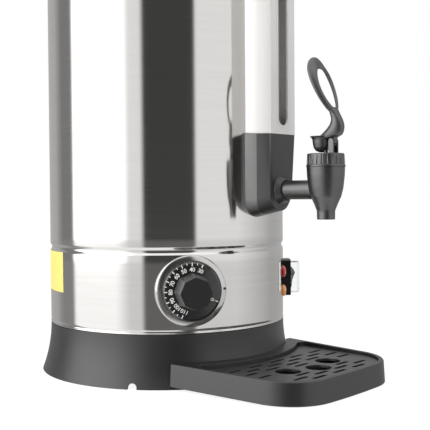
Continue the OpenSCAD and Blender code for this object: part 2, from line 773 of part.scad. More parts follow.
// Section of the channel, drawn in by an inset, from inside the wall to the front
module channel_section(inset) {
    w = channel_w / 2 - inset;
    front = channel_face - inset;
    polygon([[body_r - 6, w - fold_in], [fold_r, w - fold_in], [front, w],
        [front, -w], [fold_r, fold_in - w], [body_r - 6, fold_in - w]]);
}

// Half space beyond an end of the channel, tilted with its cut
module channel_end(z, dir) {
    translate([channel_face, 0, z]) rotate([0, dir * atan(end_slope), 0])
        span([-60, -30, dir > 0 ? -30 : 0], [5, 30, dir > 0 ? 0 : 30]);
}

module sight_cover() color(steel) at(0, 0) difference() {
    union() {
        difference() {
            translate([0, 0, channel_z0]) linear_extrude(channel_z1 - channel_z0 + 4)
                channel_section(0);
            translate([0, 0, channel_z0 - 1]) linear_extrude(channel_z1 - channel_z0 + 6)
                channel_section(sheet_t);
            channel_end(channel_z0, 1);
            channel_end(channel_z1, -1);
        }
        round_slot(slot_w + 2 * sheet_t, channel_face - slot_edge, channel_face - eps,
            slot_z0 - sheet_t, slot_z1 + sheet_t);
        round_slot(slot_w + 2 * bead_w, channel_face - sheet_t / 2, channel_face + bead_h,
            slot_z0 - bead_w, slot_z1 + bead_w);
    }
    round_slot(slot_w, channel_face - 6, channel_face + 1, slot_z0, slot_z1);
    translate([0, 0, channel_z0 - 10])
        cylinder(r = body_r, h = channel_z1 - channel_z0 + 20, $fn = 180);
}

module sight_glass() color([0.85, 0.9, 0.92, 0.35]) at(0, 0) translate([glass_r, 0, glass_z0])
    difference() {
        cylinder(d = glass_d, h = glass_z1 - glass_z0, $fn = 48);
        translate([0, 0, -1]) cylinder(d = glass_d - 2 * glass_t, h = glass_z1 - glass_z0 + 2, $fn = 48);
    }

// Silicone ring round the glass
module glass_ring(z) color(silicone) at(0, 0) translate([glass_r, 0, z]) difference() {
    cylinder(d = branch_d - 2 * socket_wall, h = seal_h);
    translate([0, 0, -1]) cylinder(r = glass_d / 2 + run_fit, h = seal_h + 2, $fn = 48);
}

module sight_seal_lower() glass_ring(branch_z1 - seal_h);
module sight_seal_upper() glass_ring(channel_z1 + 2.6);

bracket_w = channel_w / 2 + 0.4;
bracket_fold = fold_r - 0.9;
bracket_round_z = channel_z0 - bracket_len + bracket_w;
bracket_wall = 1.7;
bracket_edge = 1.6;    // chamfer round the front
front_draw = 2;        // how much narrower the front is at its round end
front_rise = 8;        // how much higher the front ends than the back

// Outline of a bracket across X and Z at a distance r from the axis, from its open end down
// to its round end. w0 is the half width at the open end, w1 where the round end begins
function bracket_ring(r, w0, w1, z_top, z_round, z_open, down) =
    [for (p = concat([[-w0, z_top], [w0, z_top]], arc(0, z_round, w1, 0, -180, 16)))
        [p[0], -r + (r > bracket_fold ? front_slope * (z_open - p[1]) : 0),
         z_open + down * (p[1] - z_open)]];

// Solid of a bracket from inside the wall to its front, its end drawn in towards the front
module bracket_solid(shrink, r0, z_open, z_round, down) {
    w = bracket_w - shrink;
    back_w = w - fold_in + 0.6;
    face = channel_face - shrink;
    tip_w = w - front_draw;
    back_z = z_round - w + back_w;
    tip_z = z_round + front_rise - front_draw;
    spots = [
        [r0, back_w, back_w, back_z],
        [bracket_fold, back_w, back_w, back_z],
        [face - bracket_edge, w, tip_w, tip_z - bracket_edge],
        [face, w - bracket_edge / 2, tip_w - bracket_edge, tip_z]];
    rings = [for (s = spots)
        bracket_ring(s[0], s[1], s[2], z_open + end_slope * (channel_face - s[0]) - shrink, s[3],
            z_open, down)];
    loft(down < 0 ? rings : [for (i = [len(rings) - 1:-1:0]) rings[i]]);
}

bracket_screw_d = 3.6;
bracket_boss_d = 8;
bracket_boss_len = 17.5;
upper_round_z = channel_z1 - upper_len + bracket_w;
bracket_screw_x = 11.4;
collar_root = 2.2;
bracket_screw_spots = [
    [-bracket_screw_x, outlet_z + 24], [bracket_screw_x, outlet_z + 24],
    [-bracket_screw_x, channel_z1 + 7], [bracket_screw_x, channel_z1 + 7]];

module bracket_lower() color(plastic) difference() {
    union() {
        bracket_solid(0, body_r - 4, channel_z0, bracket_round_z, 1);
        at(0, outlet_z) translate([channel_face - collar_root, 0, 0]) rotate([0, 90, 0])
            cylinder(d1 = neck_d + 11, d2 = neck_d + 3, h = collar_root + 4.5);
    }
    difference() {
        bracket_solid(bracket_wall, body_r - 5, channel_z0, bracket_round_z, 1);
        for (side = [-1, 1])
            translate([side * bracket_screw_x, 0, outlet_z + 24]) at(0, 0)
                along(bracket_boss_d, body_r - 4, body_r + bracket_boss_len);
    }
    translate([0, 0, channel_z0 - bracket_len - 10])
        cylinder(r = body_r, h = bracket_len + 20, $fn = 180);
    for (side = [-1, 1])
        translate([side * bracket_screw_x, 0, outlet_z + 24]) at(0, 0)
            along(bracket_screw_d + 2 * run_fit, body_r - 8, body_r + 16);
    at(0, outlet_z) along(neck_d + 2 * seat, channel_face - 6, channel_face + 12);
    at(0, 0) translate([glass_r, 0, channel_z0 - 6]) cylinder(d = branch_d + 2 * seat, h = 10);
}

module bracket_upper() color(plastic) difference() {
    bracket_solid(0, body_r - 4, channel_z1, upper_round_z, -1);
    difference() {
        bracket_solid(bracket_wall, body_r - 5, channel_z1, upper_round_z, -1);
        for (side = [-1, 1])
            translate([side * bracket_screw_x, 0, channel_z1 + 7]) at(0, 0)
                along(bracket_boss_d, body_r - 4, body_r + bracket_boss_len);
        at(0, 0) translate([glass_r, 0, channel_z1]) cylinder(d = branch_d + 1, h = 40);
    }
    translate([0, 0, channel_z1 - 10]) cylinder(r = body_r, h = 80, $fn = 180);
    for (side = [-1, 1])
        translate([side * bracket_screw_x, 0, channel_z1 + 7]) at(0, 0)
            along(bracket_screw_d + 2 * run_fit, body_r - 8, body_r + 16);
    at(0, 0) translate([glass_r, 0, channel_z1 - 1])
        cylinder(r = branch_d / 2 - socket_wall + run_fit, h = 1 + 2.6 + seal_h, $fn = 48);
    at(0, 0) translate([glass_r, 0, channel_z1])
        cylinder(d = glass_d - 3, h = 2.6 + seal_h + 3, $fn = 48);
}

bracket_head_x = sqrt(pow(shell_in, 2) - pow(bracket_screw_x + 3.6, 2));

module bracket_screws() color("#a8a8a6")
    for (p = bracket_screw_spots)
        translate([p[0], 0, p[1]]) at(0, 0)
            screw(bracket_head_x - 2, body_r + 14, bracket_screw_d, 7, 2);

// ---------------------------------------------------------------- outlet

tee_d = 16;
tee_bore = 10;
tee_in = tank_in - 9;
tee_front = channel_face - bracket_wall - front_slope * (channel_z0 - outlet_z + tee_d / 2 + 2) - 0.1;
tee_shoulder = tank_r + 3;
tail_d = 13.6;
tail_len = 13;

// Tee that joins the tank, the glass and the tap
module outlet_tee() color("#4a4643") at(0, outlet_z) difference() {
    union() {
        along(tee_d, tee_in, tee_front);
        along(tee_d + 8, tee_shoulder, tee_shoulder + 2.4);
        along(tee_d + 4, body_r + 3, tee_front);
        translate([glass_r, 0, 0]) cylinder(d = branch_d, h = branch_z1 - outlet_z);
    }
    along(tee_bore, tee_in - 1, tee_front + 1);
    along(tail_d + 2 * run_fit, tee_front - tail_len - 0.5, tee_front + 1);
    translate([glass_r, 0, 0]) cylinder(d = 6, h = branch_z1 - outlet_z + 1, $fn = 32);
    translate([glass_r, 0, glass_z0 - outlet_z])
        cylinder(r = glass_d / 2 + run_fit, h = socket_h + 1, $fn = 48);
    translate([glass_r, 0, branch_z1 - seal_h - outlet_z])
        cylinder(r = branch_d / 2 - socket_wall + run_fit, h = seal_h + 1, $fn = 48);
}

module outlet_gasket() color(silicone) at(0, outlet_z) difference() {
    along(tee_d + 8, tank_r - 2, tee_shoulder);
    along(tee_d + 2 * run_fit, tank_r - 4, tee_shoulder + 1);
    translate([0, 0, -40]) cylinder(r = tank_r, h = 80, $fn = 180);
}

nut_w = 24;
tank_chord = sqrt(tank_in * tank_in - pow(nut_w / 2 / cos(30), 2));

module outlet_nut() color("#b9bbbd") at(0, outlet_z) difference() {
    hex_along(nut_w, tank_chord - 6, tank_chord - 0.1);
    along(tee_d + 2 * run_fit, tank_chord - 7, tank_chord + 1);
}

// ---------------------------------------------------------------- tap

tap_r = body_r + tap_reach;
nozzle_z = outlet_z - 26.5;
seat_z = outlet_z - 10.6;
shoulder_z = outlet_z + 19.9;
body_top_z = outlet_z + 29.4;
bonnet_z = outlet_z + 31.8;
goblet_r = 17;
thread_r = 14.4;
well_top_r = 12.6;

// Outside of the tap body, radius and height above the nozzle
goblet = [[0, 0], [0.15, 7.8], [2.4, 13.5], [5.6, 20.6], [7.4, 27.7], [8.6, 38.3], [9, 46.4]];

module tap_body() color(plastic) translate([0, -tap_r, 0]) difference() {
    union() {
        rotate_extrude()
            polygon(concat([[0, nozzle_z]],
                [for (p = goblet) [nozzle_d / 2 + p[0], nozzle_z + p[1]]],
                [[thread_r, shoulder_z], [thread_r, body_top_z], [0, body_top_z]]));
        translate([0, tap_r, outlet_z]) at(0, 0) {
            along(neck_d, channel_face + 0.2, tap_r - 8);
            along(tail_d, tee_front - tail_len, channel_face + 1);
        }
    }
    rotate_extrude()
        polygon([[0, seat_z], [nozzle_bore / 2 + 0.4, seat_z], [8.6, seat_z + 4.4],
            [11.2, seat_z + 12], [well_top_r, seat_z + 22], [well_top_r, body_top_z + 1],
            [0, body_top_z + 1]]);
    translate([0, 0, nozzle_z - 1]) cylinder(d = nozzle_bore, h = seat_z - nozzle_z + 2, $fn = 64);
    translate([0, tap_r, outlet_z]) at(0, 0) along(tap_bore, tee_front - tail_len - 1, tap_r - 4);
}

// Flat washer between the tap's neck and the tee
module tap_washer() color("#2a2928") at(0, outlet_z) difference() {
    along(neck_d, tee_front, channel_face + 0.2);
    along(tail_d + 2 * run_fit, tee_front - 1, channel_face + 1);
}

pivot_r = tap_r + 8.1;
pivot_z = bonnet_z + 10.6;
ball_z = bonnet_z + 9.1;
ball_r = stem_d / 2 + 1;
fork_half = 4.3;
fork_wall = 1.4;
fork_r = pin_d / 2 + 0.95;
fork_web = 1.5;
tongue_r = pin_d / 2 + 1.4;
tongue_half = fork_half - fork_wall - seat;
fork_back = pivot_r - fork_r;
guide_h = 4;
pin_skin = 0.4;        // plastic left over the blind end of the pin's hole

module tap_bonnet() color(plastic) difference() {
    union() {
        translate([0, -tap_r, 0]) difference() {
            rotate_extrude()
                polygon([[0, body_top_z], [thread_r + run_fit, body_top_z],
                    [thread_r + run_fit, shoulder_z + seat], [goblet_r + 0.4, shoulder_z + seat],
                    [goblet_r + 0.4, shoulder_z + 1.6], [goblet_r - 0.1, shoulder_z + 2],
                    [goblet_r - 0.6, bonnet_z - 0.6], [goblet_r - 1.2, bonnet_z], [0, bonnet_z]]);
            for (i = [0:bonnet_grooves - 1])
                rotate([0, 0, 360 * (i + 0.5) / bonnet_grooves])
                    translate([goblet_r + 0.35, 0, shoulder_z + 2.4])
                        cylinder(d = 2.2, h = 16, $fn = 24);
        }
        translate([0, -tap_r, body_top_z - guide_h]) cylinder(r = stem_d / 2 + 2.4, h = guide_h);
        for (x = [-fork_half, fork_half - fork_wall]) translate([x, 0, 0]) {
            span([0, -pivot_r - fork_r, bonnet_z - 1], [fork_wall, -fork_back, pivot_z]);
            translate([0, -pivot_r, pivot_z]) rotate([0, 90, 0])
                cylinder(r = fork_r, h = fork_wall, $fn = 48);
        }
        span([-fork_half, -fork_back - fork_web, bonnet_z - 1],
             [fork_half, -fork_back, pivot_z - tongue_r - seat]);
    }
    translate([0, -tap_r, body_top_z - guide_h - 1])
        cylinder(r = stem_d / 2 + run_fit, h = guide_h + 6, $fn = 48);
    translate([pin_skin - fork_half, -pivot_r, pivot_z]) rotate([0, 90, 0])
        cylinder(r = pin_d / 2 + run_fit, h = 2 * fork_half, $fn = 32);
}

disc_z = seat_z + 12;
disc_d = 14;
disc_h = 1.6;

module tap_stem() color("#2c2a29") translate([0, -tap_r, 0]) {
    translate([0, 0, seat_z + 5]) cylinder(d = stem_d, h = ball_z - ball_r + 1 - seat_z - 5, $fn = 48);
    translate([0, 0, disc_z]) cylinder(d = disc_d, h = disc_h);
    translate([0, 0, ball_z]) sphere(r = ball_r, $fn = 48);
}

// Silicone cup that closes the nozzle
module seat_cup() color(silicone) translate([0, -tap_r, 0]) difference() {
    rotate_extrude()
        polygon([[0, seat_z - 1.6], [3.4, seat_z - 1.2], [nozzle_bore / 2 - 0.2, seat_z + 0.6],
            [7.4, seat_z + 4.2], [8.4, seat_z + 8], [6, seat_z + 10.4], [0, seat_z + 10.4]]);
    translate([0, 0, seat_z + 5]) cylinder(r = stem_d / 2 + run_fit, h = 10, $fn = 48);
}

spring_wire = 1;
spring_r = 4.6;
spring_z0 = disc_z + disc_h + spring_wire / 2;
spring_z1 = body_top_z - guide_h - spring_wire / 2;
spring_steps = 14;

module stem_spring() color("#b8b8b6") translate([0, -tap_r, 0])
    tube([for (i = [0:spring_turns * spring_steps])
            let (t = i / (spring_turns * spring_steps), a = 360 * i / spring_steps)
            [spring_r * cos(a), spring_r * sin(a), spring_z0 + (spring_z1 - spring_z0) * t]],
        spring_wire, 6);

// The lever, drawn in the plane of the tap: distance in front of the tap's axis, height
neck_z0 = pivot_z + fork_r + seat;
neck_rings = [                 // distance, height above the fork, half depth, half width
    [2.2, 0, 8.4, 6.2], [5.7, 2.6, 10.9, 6.6], [8.2, 5.1, 9.8, 6.6], [10.4, 8.2, 8.3, 6.4],
    [11.8, 11.3, 6.8, 6.1], [12.1, 14.3, 5.6, 5.7], [11.6, 17.3, 4.8, 5.3],
    [9.9, 21.2, 4.1, 5.3], [8.6, 24.2, 3.4, 6.2], [7, 27, 2.6, 7.4]];
loop_foot = [9.5, 23.3];       // distance and height above the fork
loop_head = [-9.2, 67.4];
loop_bow = 0.9;                // how far the loop's middle bends back
loop_half_w = 13.1;
loop_steps = 44;
bowl_r = tap_r - 4.2;
bowl_lip_r = 10.6;
bowl_top = neck_z0 + 2.2;

module tap_lever() color(plastic) difference() {
    union() {
        loft([for (g = neck_rings)
            oval_ring([0, -tap_r - g[0], neck_z0 + g[1]], [g[3], 0, 0], [0, g[2], 0], 28)]);
        finger_loop();
        lever_bowl();
        lever_tongue();
    }
    translate([0, -pivot_r, pivot_z]) rotate([0, 90, 0])
        cylinder(r = pin_d / 2 + run_fit, h = 3 * tongue_half, center = true, $fn = 32);
    for (back = [0, ball_slack])
        translate([0, back - tap_r, ball_z - ball_grip])
            cylinder(r = ball_r + 0.4, h = ball_grip + ball_r + 0.9);
    span([-stem_d / 2 - 0.35, -tap_r - 12, bowl_low - 1],
         [stem_d / 2 + 0.35, -tap_r + ball_r, ball_z - ball_grip + 0.1]);
}

ball_grip = 2.3;               // floor of the ball's pocket below its centre
ball_slack = 0.8;
bowl_low = bonnet_z + 1.1;

// Cup under the lever that holds the ball of the stem
module lever_bowl() translate([0, -bowl_r, 0]) rotate_extrude()
    polygon([[0, bowl_low], [2.6, bowl_low + 0.2], [5.4, bowl_low + 1.6], [7.2, bowl_low + 4.2],
        [8, bowl_low + 8], [8.3, bowl_low + 11.4], [bowl_lip_r - 1, bowl_top - 1],
        [bowl_lip_r, bowl_top - 0.4], [bowl_lip_r, bowl_top], [0, bowl_top + 0.3]]);

// Plate that hangs between the walls of the fork
module lever_tongue() {
    translate([0, -pivot_r, pivot_z]) rotate([0, 90, 0])
        cylinder(r = tongue_r, h = 2 * tongue_half, center = true, $fn = 48);
    span([-tongue_half, -pivot_r - tongue_r, pivot_z], [tongue_half, -pivot_r + tongue_r, neck_z0 + 1]);
}

// Finger loop: an egg-shaped ring that leans back, its band turned like a funnel
module finger_loop() {
    foot = [0, -tap_r - loop_foot[0], neck_z0 + loop_foot[1]];
    head = [0, -tap_r - loop_head[0], neck_z0 + loop_head[1]];
    mid = (foot + head) / 2;
    up = unit(head - foot);
    half = norm(head - foot) / 2;
    ahead = cross([1, 0, 0], up);
    closed_loft([for (i = [0:loop_steps - 1])
        let (a = 360 * i / loop_steps,
             high = (1 + sin(a)) / 2,
             w = loop_half_w * (1 + 0.12 * sin(a)),
             c = mid + [1, 0, 0] * w * cos(a) + up * half * sin(a)
                 + [0, loop_bow * pow(cos(a), 2), 0],
             tangent = unit([1, 0, 0] * -w * sin(a) + up * half * cos(a)),
             inward = cross(ahead, tangent),
             turn = 42 * (1 - pow(high, 8)),
             major = inward * cos(turn) + ahead * sin(turn),
             minor = cross(tangent, major))
        oval_ring(c, major * (2.9 + 3.2 * pow(high, 2.5)), minor * (1.3 + 0.5 * high), 12)]);
}

module lever_pin() color("#b8b8b6")
    translate([pin_skin + 0.1 - fork_half, -pivot_r, pivot_z]) rotate([0, 90, 0])
        cylinder(d = pin_d, h = 2 * fork_half - pin_skin - 0.2, $fn = 32);

// ---------------------------------------------------------------- drip tray

tray_front = body_r + tray_reach;
tray_z0 = tray_lift;
tray_z1 = tray_z0 + tray_h;
tray_back_y = 92;
front_bulge_r = 700;
ledge_w = 2.4;
arc_r = body_r + 14.5;
basin_floor = 4.6;     // above the tray's lower edge at the front
foot_pad_d = 10;
hook_root_y = -arc_r + 7;

// Half of the tray's plan, from the front middle round to the back
function tray_half(inset, back_y) =
    let (r = tray_corner_r - inset, w = tray_half_front - inset, fr = front_bulge_r - inset,
         cx = w - r, cy = tray_front - front_bulge_r,
         a1 = asin(cx / (fr - r)), yc = cy + (fr - r) * cos(a1))
    concat([for (i = [0:6]) let (a = a1 * i / 6) [fr * sin(a), cy + fr * cos(a)]],
        [for (i = [1:9]) let (a = a1 + (90 - a1) * i / 9) [cx + r * sin(a), yc + r * cos(a)]],
        [[w + (tray_half_back - tray_half_front) * (yc - back_y) / (yc - tray_back_y), back_y]]);

function tray_plan(inset, back_y) =
    let (half = tray_half(inset, back_y), n = len(half))
    concat([for (i = [n - 1:-1:1]) [-half[i][0], -half[i][1]]],
        [for (i = [0:n - 1]) [half[i][0], -half[i][1]]]);

// The plan set at a height, for the rim and the lower edge, which rise towards the urn
function rim_lift(plan, z) = [for (p = plan) [p[0], p[1], z + tray_rise * (p[1] + tray_front)]];

tray_draft = 1.2;
tray_rise = 0.017;
edge_round = 0.8;

module tray_outside() {
    loft([rim_lift(tray_plan(0.4, tray_back_y), tray_z0),
        rim_lift(tray_plan(0, tray_back_y), tray_z0 + 0.5),
        rim_lift(tray_plan(tray_draft, tray_back_y), tray_z1 - edge_round),
        rim_lift(tray_plan(tray_draft + edge_round, tray_back_y), tray_z1)]);
}

grille_z1 = tray_z1 - grille_drop;
grille_z0 = grille_z1 - grille_t;
recess_inset = tray_draft + rim_w;

// Half width of the tray at a distance in front of the urn's axis
function half_at(y) = tray_half_front + (tray_half_back - tray_half_front)
    * (tray_front - tray_corner_r - y) / (tray_front - tray_corner_r - tray_back_y);

well_fillet = 8;
grille_gap = 0.7;

// Well of the tray: the plan drawn in by an inset, behind an arc round the urn
module tray_well(inset, arc, z0, z1) {
    h = z1 - z0 + 2;
    cx = half_at(arc * 0.8) - inset - well_fillet;
    cy = sqrt(pow(arc + well_fillet, 2) - cx * cx);
    difference() {
        translate([0, 0, z0]) linear_extrude(height = z1 - z0) polygon(tray_plan(inset, tray_back_y + 8));
        translate([0, 0, z0 - 1]) cylinder(r = arc, h = h, $fn = 180);
        for (side = [-1, 1]) difference() {
            span([side > 0 ? cx - 3 : -cx - 30, -cy, z0 - 1], [side > 0 ? cx + 30 : 3 - cx, -cy + 40, z0 - 1 + h]);
            translate([side * cx, -cy, z0 - 2]) cylinder(r = well_fillet, h = h + 2, $fn = 64);
        }
    }
}

module tray_body() color(plastic) {
    difference() {
        tray_outside();
        skirt_envelope(seat);
        tray_well(recess_inset, arc_r, grille_z0, tray_z1 + 4);
        tray_well(recess_inset + ledge_w, arc_r + ledge_w, tray_z0 + basin_floor, grille_z0 + 1);
    }
    for (side = [-1, 1]) {
        translate([side * hook_x, 0, hook_z])
            span([-hook_w / 2, hook_root_y, 0], [hook_w / 2, -body_r + hook_len, hook_t]);
        for (y = [-body_r - 28, -tray_front + 26])
            translate([side * (tray_half_front - 22), y, 0])
                cylinder(d = foot_pad_d, h = tray_z0 + 1 + tray_rise * (tray_front + y), $fn = 32);
    }
}

// Rows of slots: distance in front of the urn's axis, and places along the row in slot pitches
drain_y = tray_front - 50.8;
rear_row = drain_y - 17.2;
front_row = drain_y + 16;
slot_rows = [
    [rear_row - 2 * row_pitch, [-2, -1, 0, 1, 2]],
    [rear_row - row_pitch, [-1.5, -0.5, 0.5, 1.5]],
    [rear_row, [-2, -1, 0, 1, 2]],
    [drain_y - 7.6, [0]],
    [drain_y - 2.8, [-2, 2]],
    [front_row, [-1, 1]],
    [front_row + 0.94 * row_pitch, [-1.5, -0.5, 0.5, 1.5]],
    [front_row + 1.88 * row_pitch, [-1, 0, 1]]];
drains = [[-slot_pitch, drain_y], [slot_pitch, drain_y], [0, drain_y + 11]];
grille_margin = 7;

function clear_of_drains(x, y) =
    min([for (d = drains) norm([max(abs(x - d[0]) - grille_slot / 2, 0), y - d[1]])])
        > drain_d / 2 + grille_slot_w / 2 + 0.8;

// Whether a slot's outer end lies within the grille's rounded corner and clear of the arc
function inside_tray(x, y) =
    let (half = abs(x) + grille_slot / 2, reach = tray_corner_r - recess_inset - grille_margin,
         over = [max(0, half - tray_half_front + tray_corner_r), max(0, y - tray_front + tray_corner_r)])
    norm(over) < reach + 3 && norm([half * 0.94, y]) > arc_r + grille_margin - 3;

module tray_grille() color("#3a3836") difference() {
    tray_well(recess_inset + grille_gap, arc_r + grille_gap, grille_z0, grille_z1);
    for (row = slot_rows, k = row[1]) {
        x = k * slot_pitch;
        if (inside_tray(x, row[0]) && clear_of_drains(x, row[0]))
            translate([x, -row[0], grille_z0 - 1]) {
                span([-grille_slot / 2 + grille_slot_w / 2, -grille_slot_w / 2, 0],
                     [grille_slot / 2 - grille_slot_w / 2, grille_slot_w / 2, grille_t + 2]);
                for (end = [-1, 1])
                    translate([end * (grille_slot - grille_slot_w) / 2, 0, 0])
                        cylinder(d = grille_slot_w, h = grille_t + 2, $fn = 16);
            }
    }
    for (d = drains) translate([d[0], -d[1], grille_z0 - 1]) cylinder(d = drain_d, h = grille_t + 2, $fn = 64);
}

// ---------------------------------------------------------------- mains inlet

cable_d = 7.6;

module cable_gland() color("#262524") at(180, gland_z) difference() {
    union() {
        along(gland_d, gland_pad_in - 8, gland_pad_out);
        hex_along(18, gland_pad_out, gland_pad_out + 5);
        translate([gland_pad_out + 5, 0, 0]) rotate([0, 90, 0]) cylinder(d1 = 16, d2 = 11.5, h = 9);
    }
    along(cable_d, gland_pad_in - 9, gland_pad_out + 20);
}

module gland_nut() color("#262524") at(180, gland_z) difference() {
    hex_along(17, gland_pad_in - 5, gland_pad_in);
    along(gland_d + 2 * run_fit, gland_pad_in - 6, gland_pad_in + 1);
}

module terminal_block() color("#e8e4da") translate([-20, 50, plate_z + plate_t]) difference() {
    span([-22, -8, 0], [22, 8, 16]);
    for (x = [-15, -5, 5, 15]) {
        translate([x, 0, 6]) rotate([90, 0, 0]) cylinder(d = 5, h = 20, center = true, $fn = 24);
        translate([x, -4, 9]) cylinder(d = 4, h = 9, $fn = 24);
        translate([x, 4, 9]) cylinder(d = 4, h = 9, $fn = 24);
    }
}

base_skirt();
base_plate();
base_screws();
tie_rod();
tie_nut();
outer_shell();
inner_tank();
top_rim();
lid();
lid_seal();
lid_knob();
lid_knob_screw();
handle_left();
handle_right();
handle_screws();
heater_plate();
heater_ring();
dry_cutout();
reset_cutout();
reset_button();
thermostat_body();
thermostat_spindle();
capillary();
dial_bezel();
dial_knob();
switch_housing();
switch_rocker();
switch_cover();
lamp_red();
lamp_amber();
sight_cover();
sight_glass();
sight_seal_lower();
sight_seal_upper();
bracket_lower();
bracket_upper();
bracket_screws();
outlet_tee();
outlet_gasket();
outlet_nut();
tap_body();
tap_washer();
tap_bonnet();
tap_stem();
seat_cup();
stem_spring();
tap_lever();
lever_pin();
tray_body();
tray_grille();
cable_gland();
gland_nut();
terminal_block();
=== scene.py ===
"""Looks of the hot water urn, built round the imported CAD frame."""
import json
import math
import bmesh
import bpy
from mathutils import Matrix, Vector


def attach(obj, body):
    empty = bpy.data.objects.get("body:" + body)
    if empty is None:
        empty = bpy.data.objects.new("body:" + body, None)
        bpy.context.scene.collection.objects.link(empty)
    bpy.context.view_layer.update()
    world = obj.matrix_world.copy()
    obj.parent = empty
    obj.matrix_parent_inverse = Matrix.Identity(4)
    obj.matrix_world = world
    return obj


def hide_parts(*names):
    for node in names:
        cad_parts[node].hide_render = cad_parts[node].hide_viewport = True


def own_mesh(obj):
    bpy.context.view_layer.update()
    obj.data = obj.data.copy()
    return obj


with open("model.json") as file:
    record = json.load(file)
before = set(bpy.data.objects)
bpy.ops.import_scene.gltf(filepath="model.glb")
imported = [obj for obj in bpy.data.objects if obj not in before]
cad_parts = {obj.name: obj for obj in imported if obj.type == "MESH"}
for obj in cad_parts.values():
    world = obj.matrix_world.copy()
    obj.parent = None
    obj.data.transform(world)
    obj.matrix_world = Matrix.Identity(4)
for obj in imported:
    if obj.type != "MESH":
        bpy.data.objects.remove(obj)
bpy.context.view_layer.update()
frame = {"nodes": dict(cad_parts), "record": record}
MM = 0.001

# ------------------------------------------------------------------ sizes of the CAD, in mm
BODY_R = 120.0
BASE_H = 48.0
RIM_Z = 424.0
GROOVE_Z = 123.7
CHANNEL_FACE = 151.5
KNOB_FACE = 122.8
DISC_FACE = 125.8
DIAL_ANGLE, DIAL_Z = -35.0, 87.7
# centres of the rounded ends of the sight channel's brackets
LOWER_ROUND_Z, UPPER_ROUND_Z = 169.4, 395.1

# ------------------------------------------------------------------ shapes past the CAD, in mm
# the channel's sides: where they meet the wall, how far out the fold lies on the cover and on
# the brackets, its extra depth, and the share of that by which it also moves back
WALL_R = 119.0
COVER_FOLD, BRACKET_FOLD = 134.1, 133.2
FOLD_PRESS, FOLD_BACK = 2.7, 0.8
# half width at which the fold's press begins, and the stretch over which it grows
FOLD_FROM, FOLD_RUN = 11.0, 3.0
# the dial: slope of its disc inside a radius, share by which the grip is lowered, shares by
# which its top and its base are widened, and the radii that the base's points lie between
DISC_SLOPE, DISC_SLOPE_R = 0.05, 25.15
GRIP_SINK, GRIP_TOP, GRIP_BASE = 0.25, 0.03, 0.16
GRIP_BASE_IN, GRIP_BASE_OUT = 12.5, 16.0

# ------------------------------------------------------------------ camera values
# solved from the outlines in the photograph, in degrees, metres, pixels and mm
YAW, PITCH, ROLL = 3.26, 1.41, -0.42
TAP_TURN = 45.0
EYE_BACK, EYE_UP = 0.875, 0.175
FOCAL_PIXELS, FRAME_PIXELS = 837, 430
SENSOR = 36


# ------------------------------------------------------------------ camera
def add_camera():
    """Camera of the photograph, with the tap pointing TAP_TURN degrees to its right."""
    yaw, pitch, roll = (math.radians(a) for a in (YAW, PITCH, ROLL))
    fwd = Vector((math.sin(yaw) * math.cos(pitch), math.cos(yaw) * math.cos(pitch), -math.sin(pitch)))
    right = Vector((math.cos(yaw), -math.sin(yaw), 0))
    up = right.cross(fwd)
    rolled_right = math.cos(roll) * right + math.sin(roll) * up
    rolled_up = math.cos(roll) * up - math.sin(roll) * right
    turn = Matrix.Rotation(math.radians(-TAP_TURN), 3, "Z")
    axes = [turn @ v for v in (rolled_right, rolled_up, -fwd)]
    cam_data = bpy.data.cameras.new("camera")
    cam = bpy.data.objects.new("camera", cam_data)
    bpy.context.scene.collection.objects.link(cam)
    m = Matrix.Identity(4)
    for i, v in enumerate(axes):
        for j in range(3):
            m[j][i] = v[j]
    m.translation = turn @ Vector((0, -EYE_BACK, EYE_UP))
    cam.matrix_world = m
    cam_data.sensor_width = SENSOR
    cam_data.lens = FOCAL_PIXELS * SENSOR / FRAME_PIXELS
    cam_data.clip_start, cam_data.clip_end = 0.01, 50
    bpy.context.scene.camera = cam


add_camera()


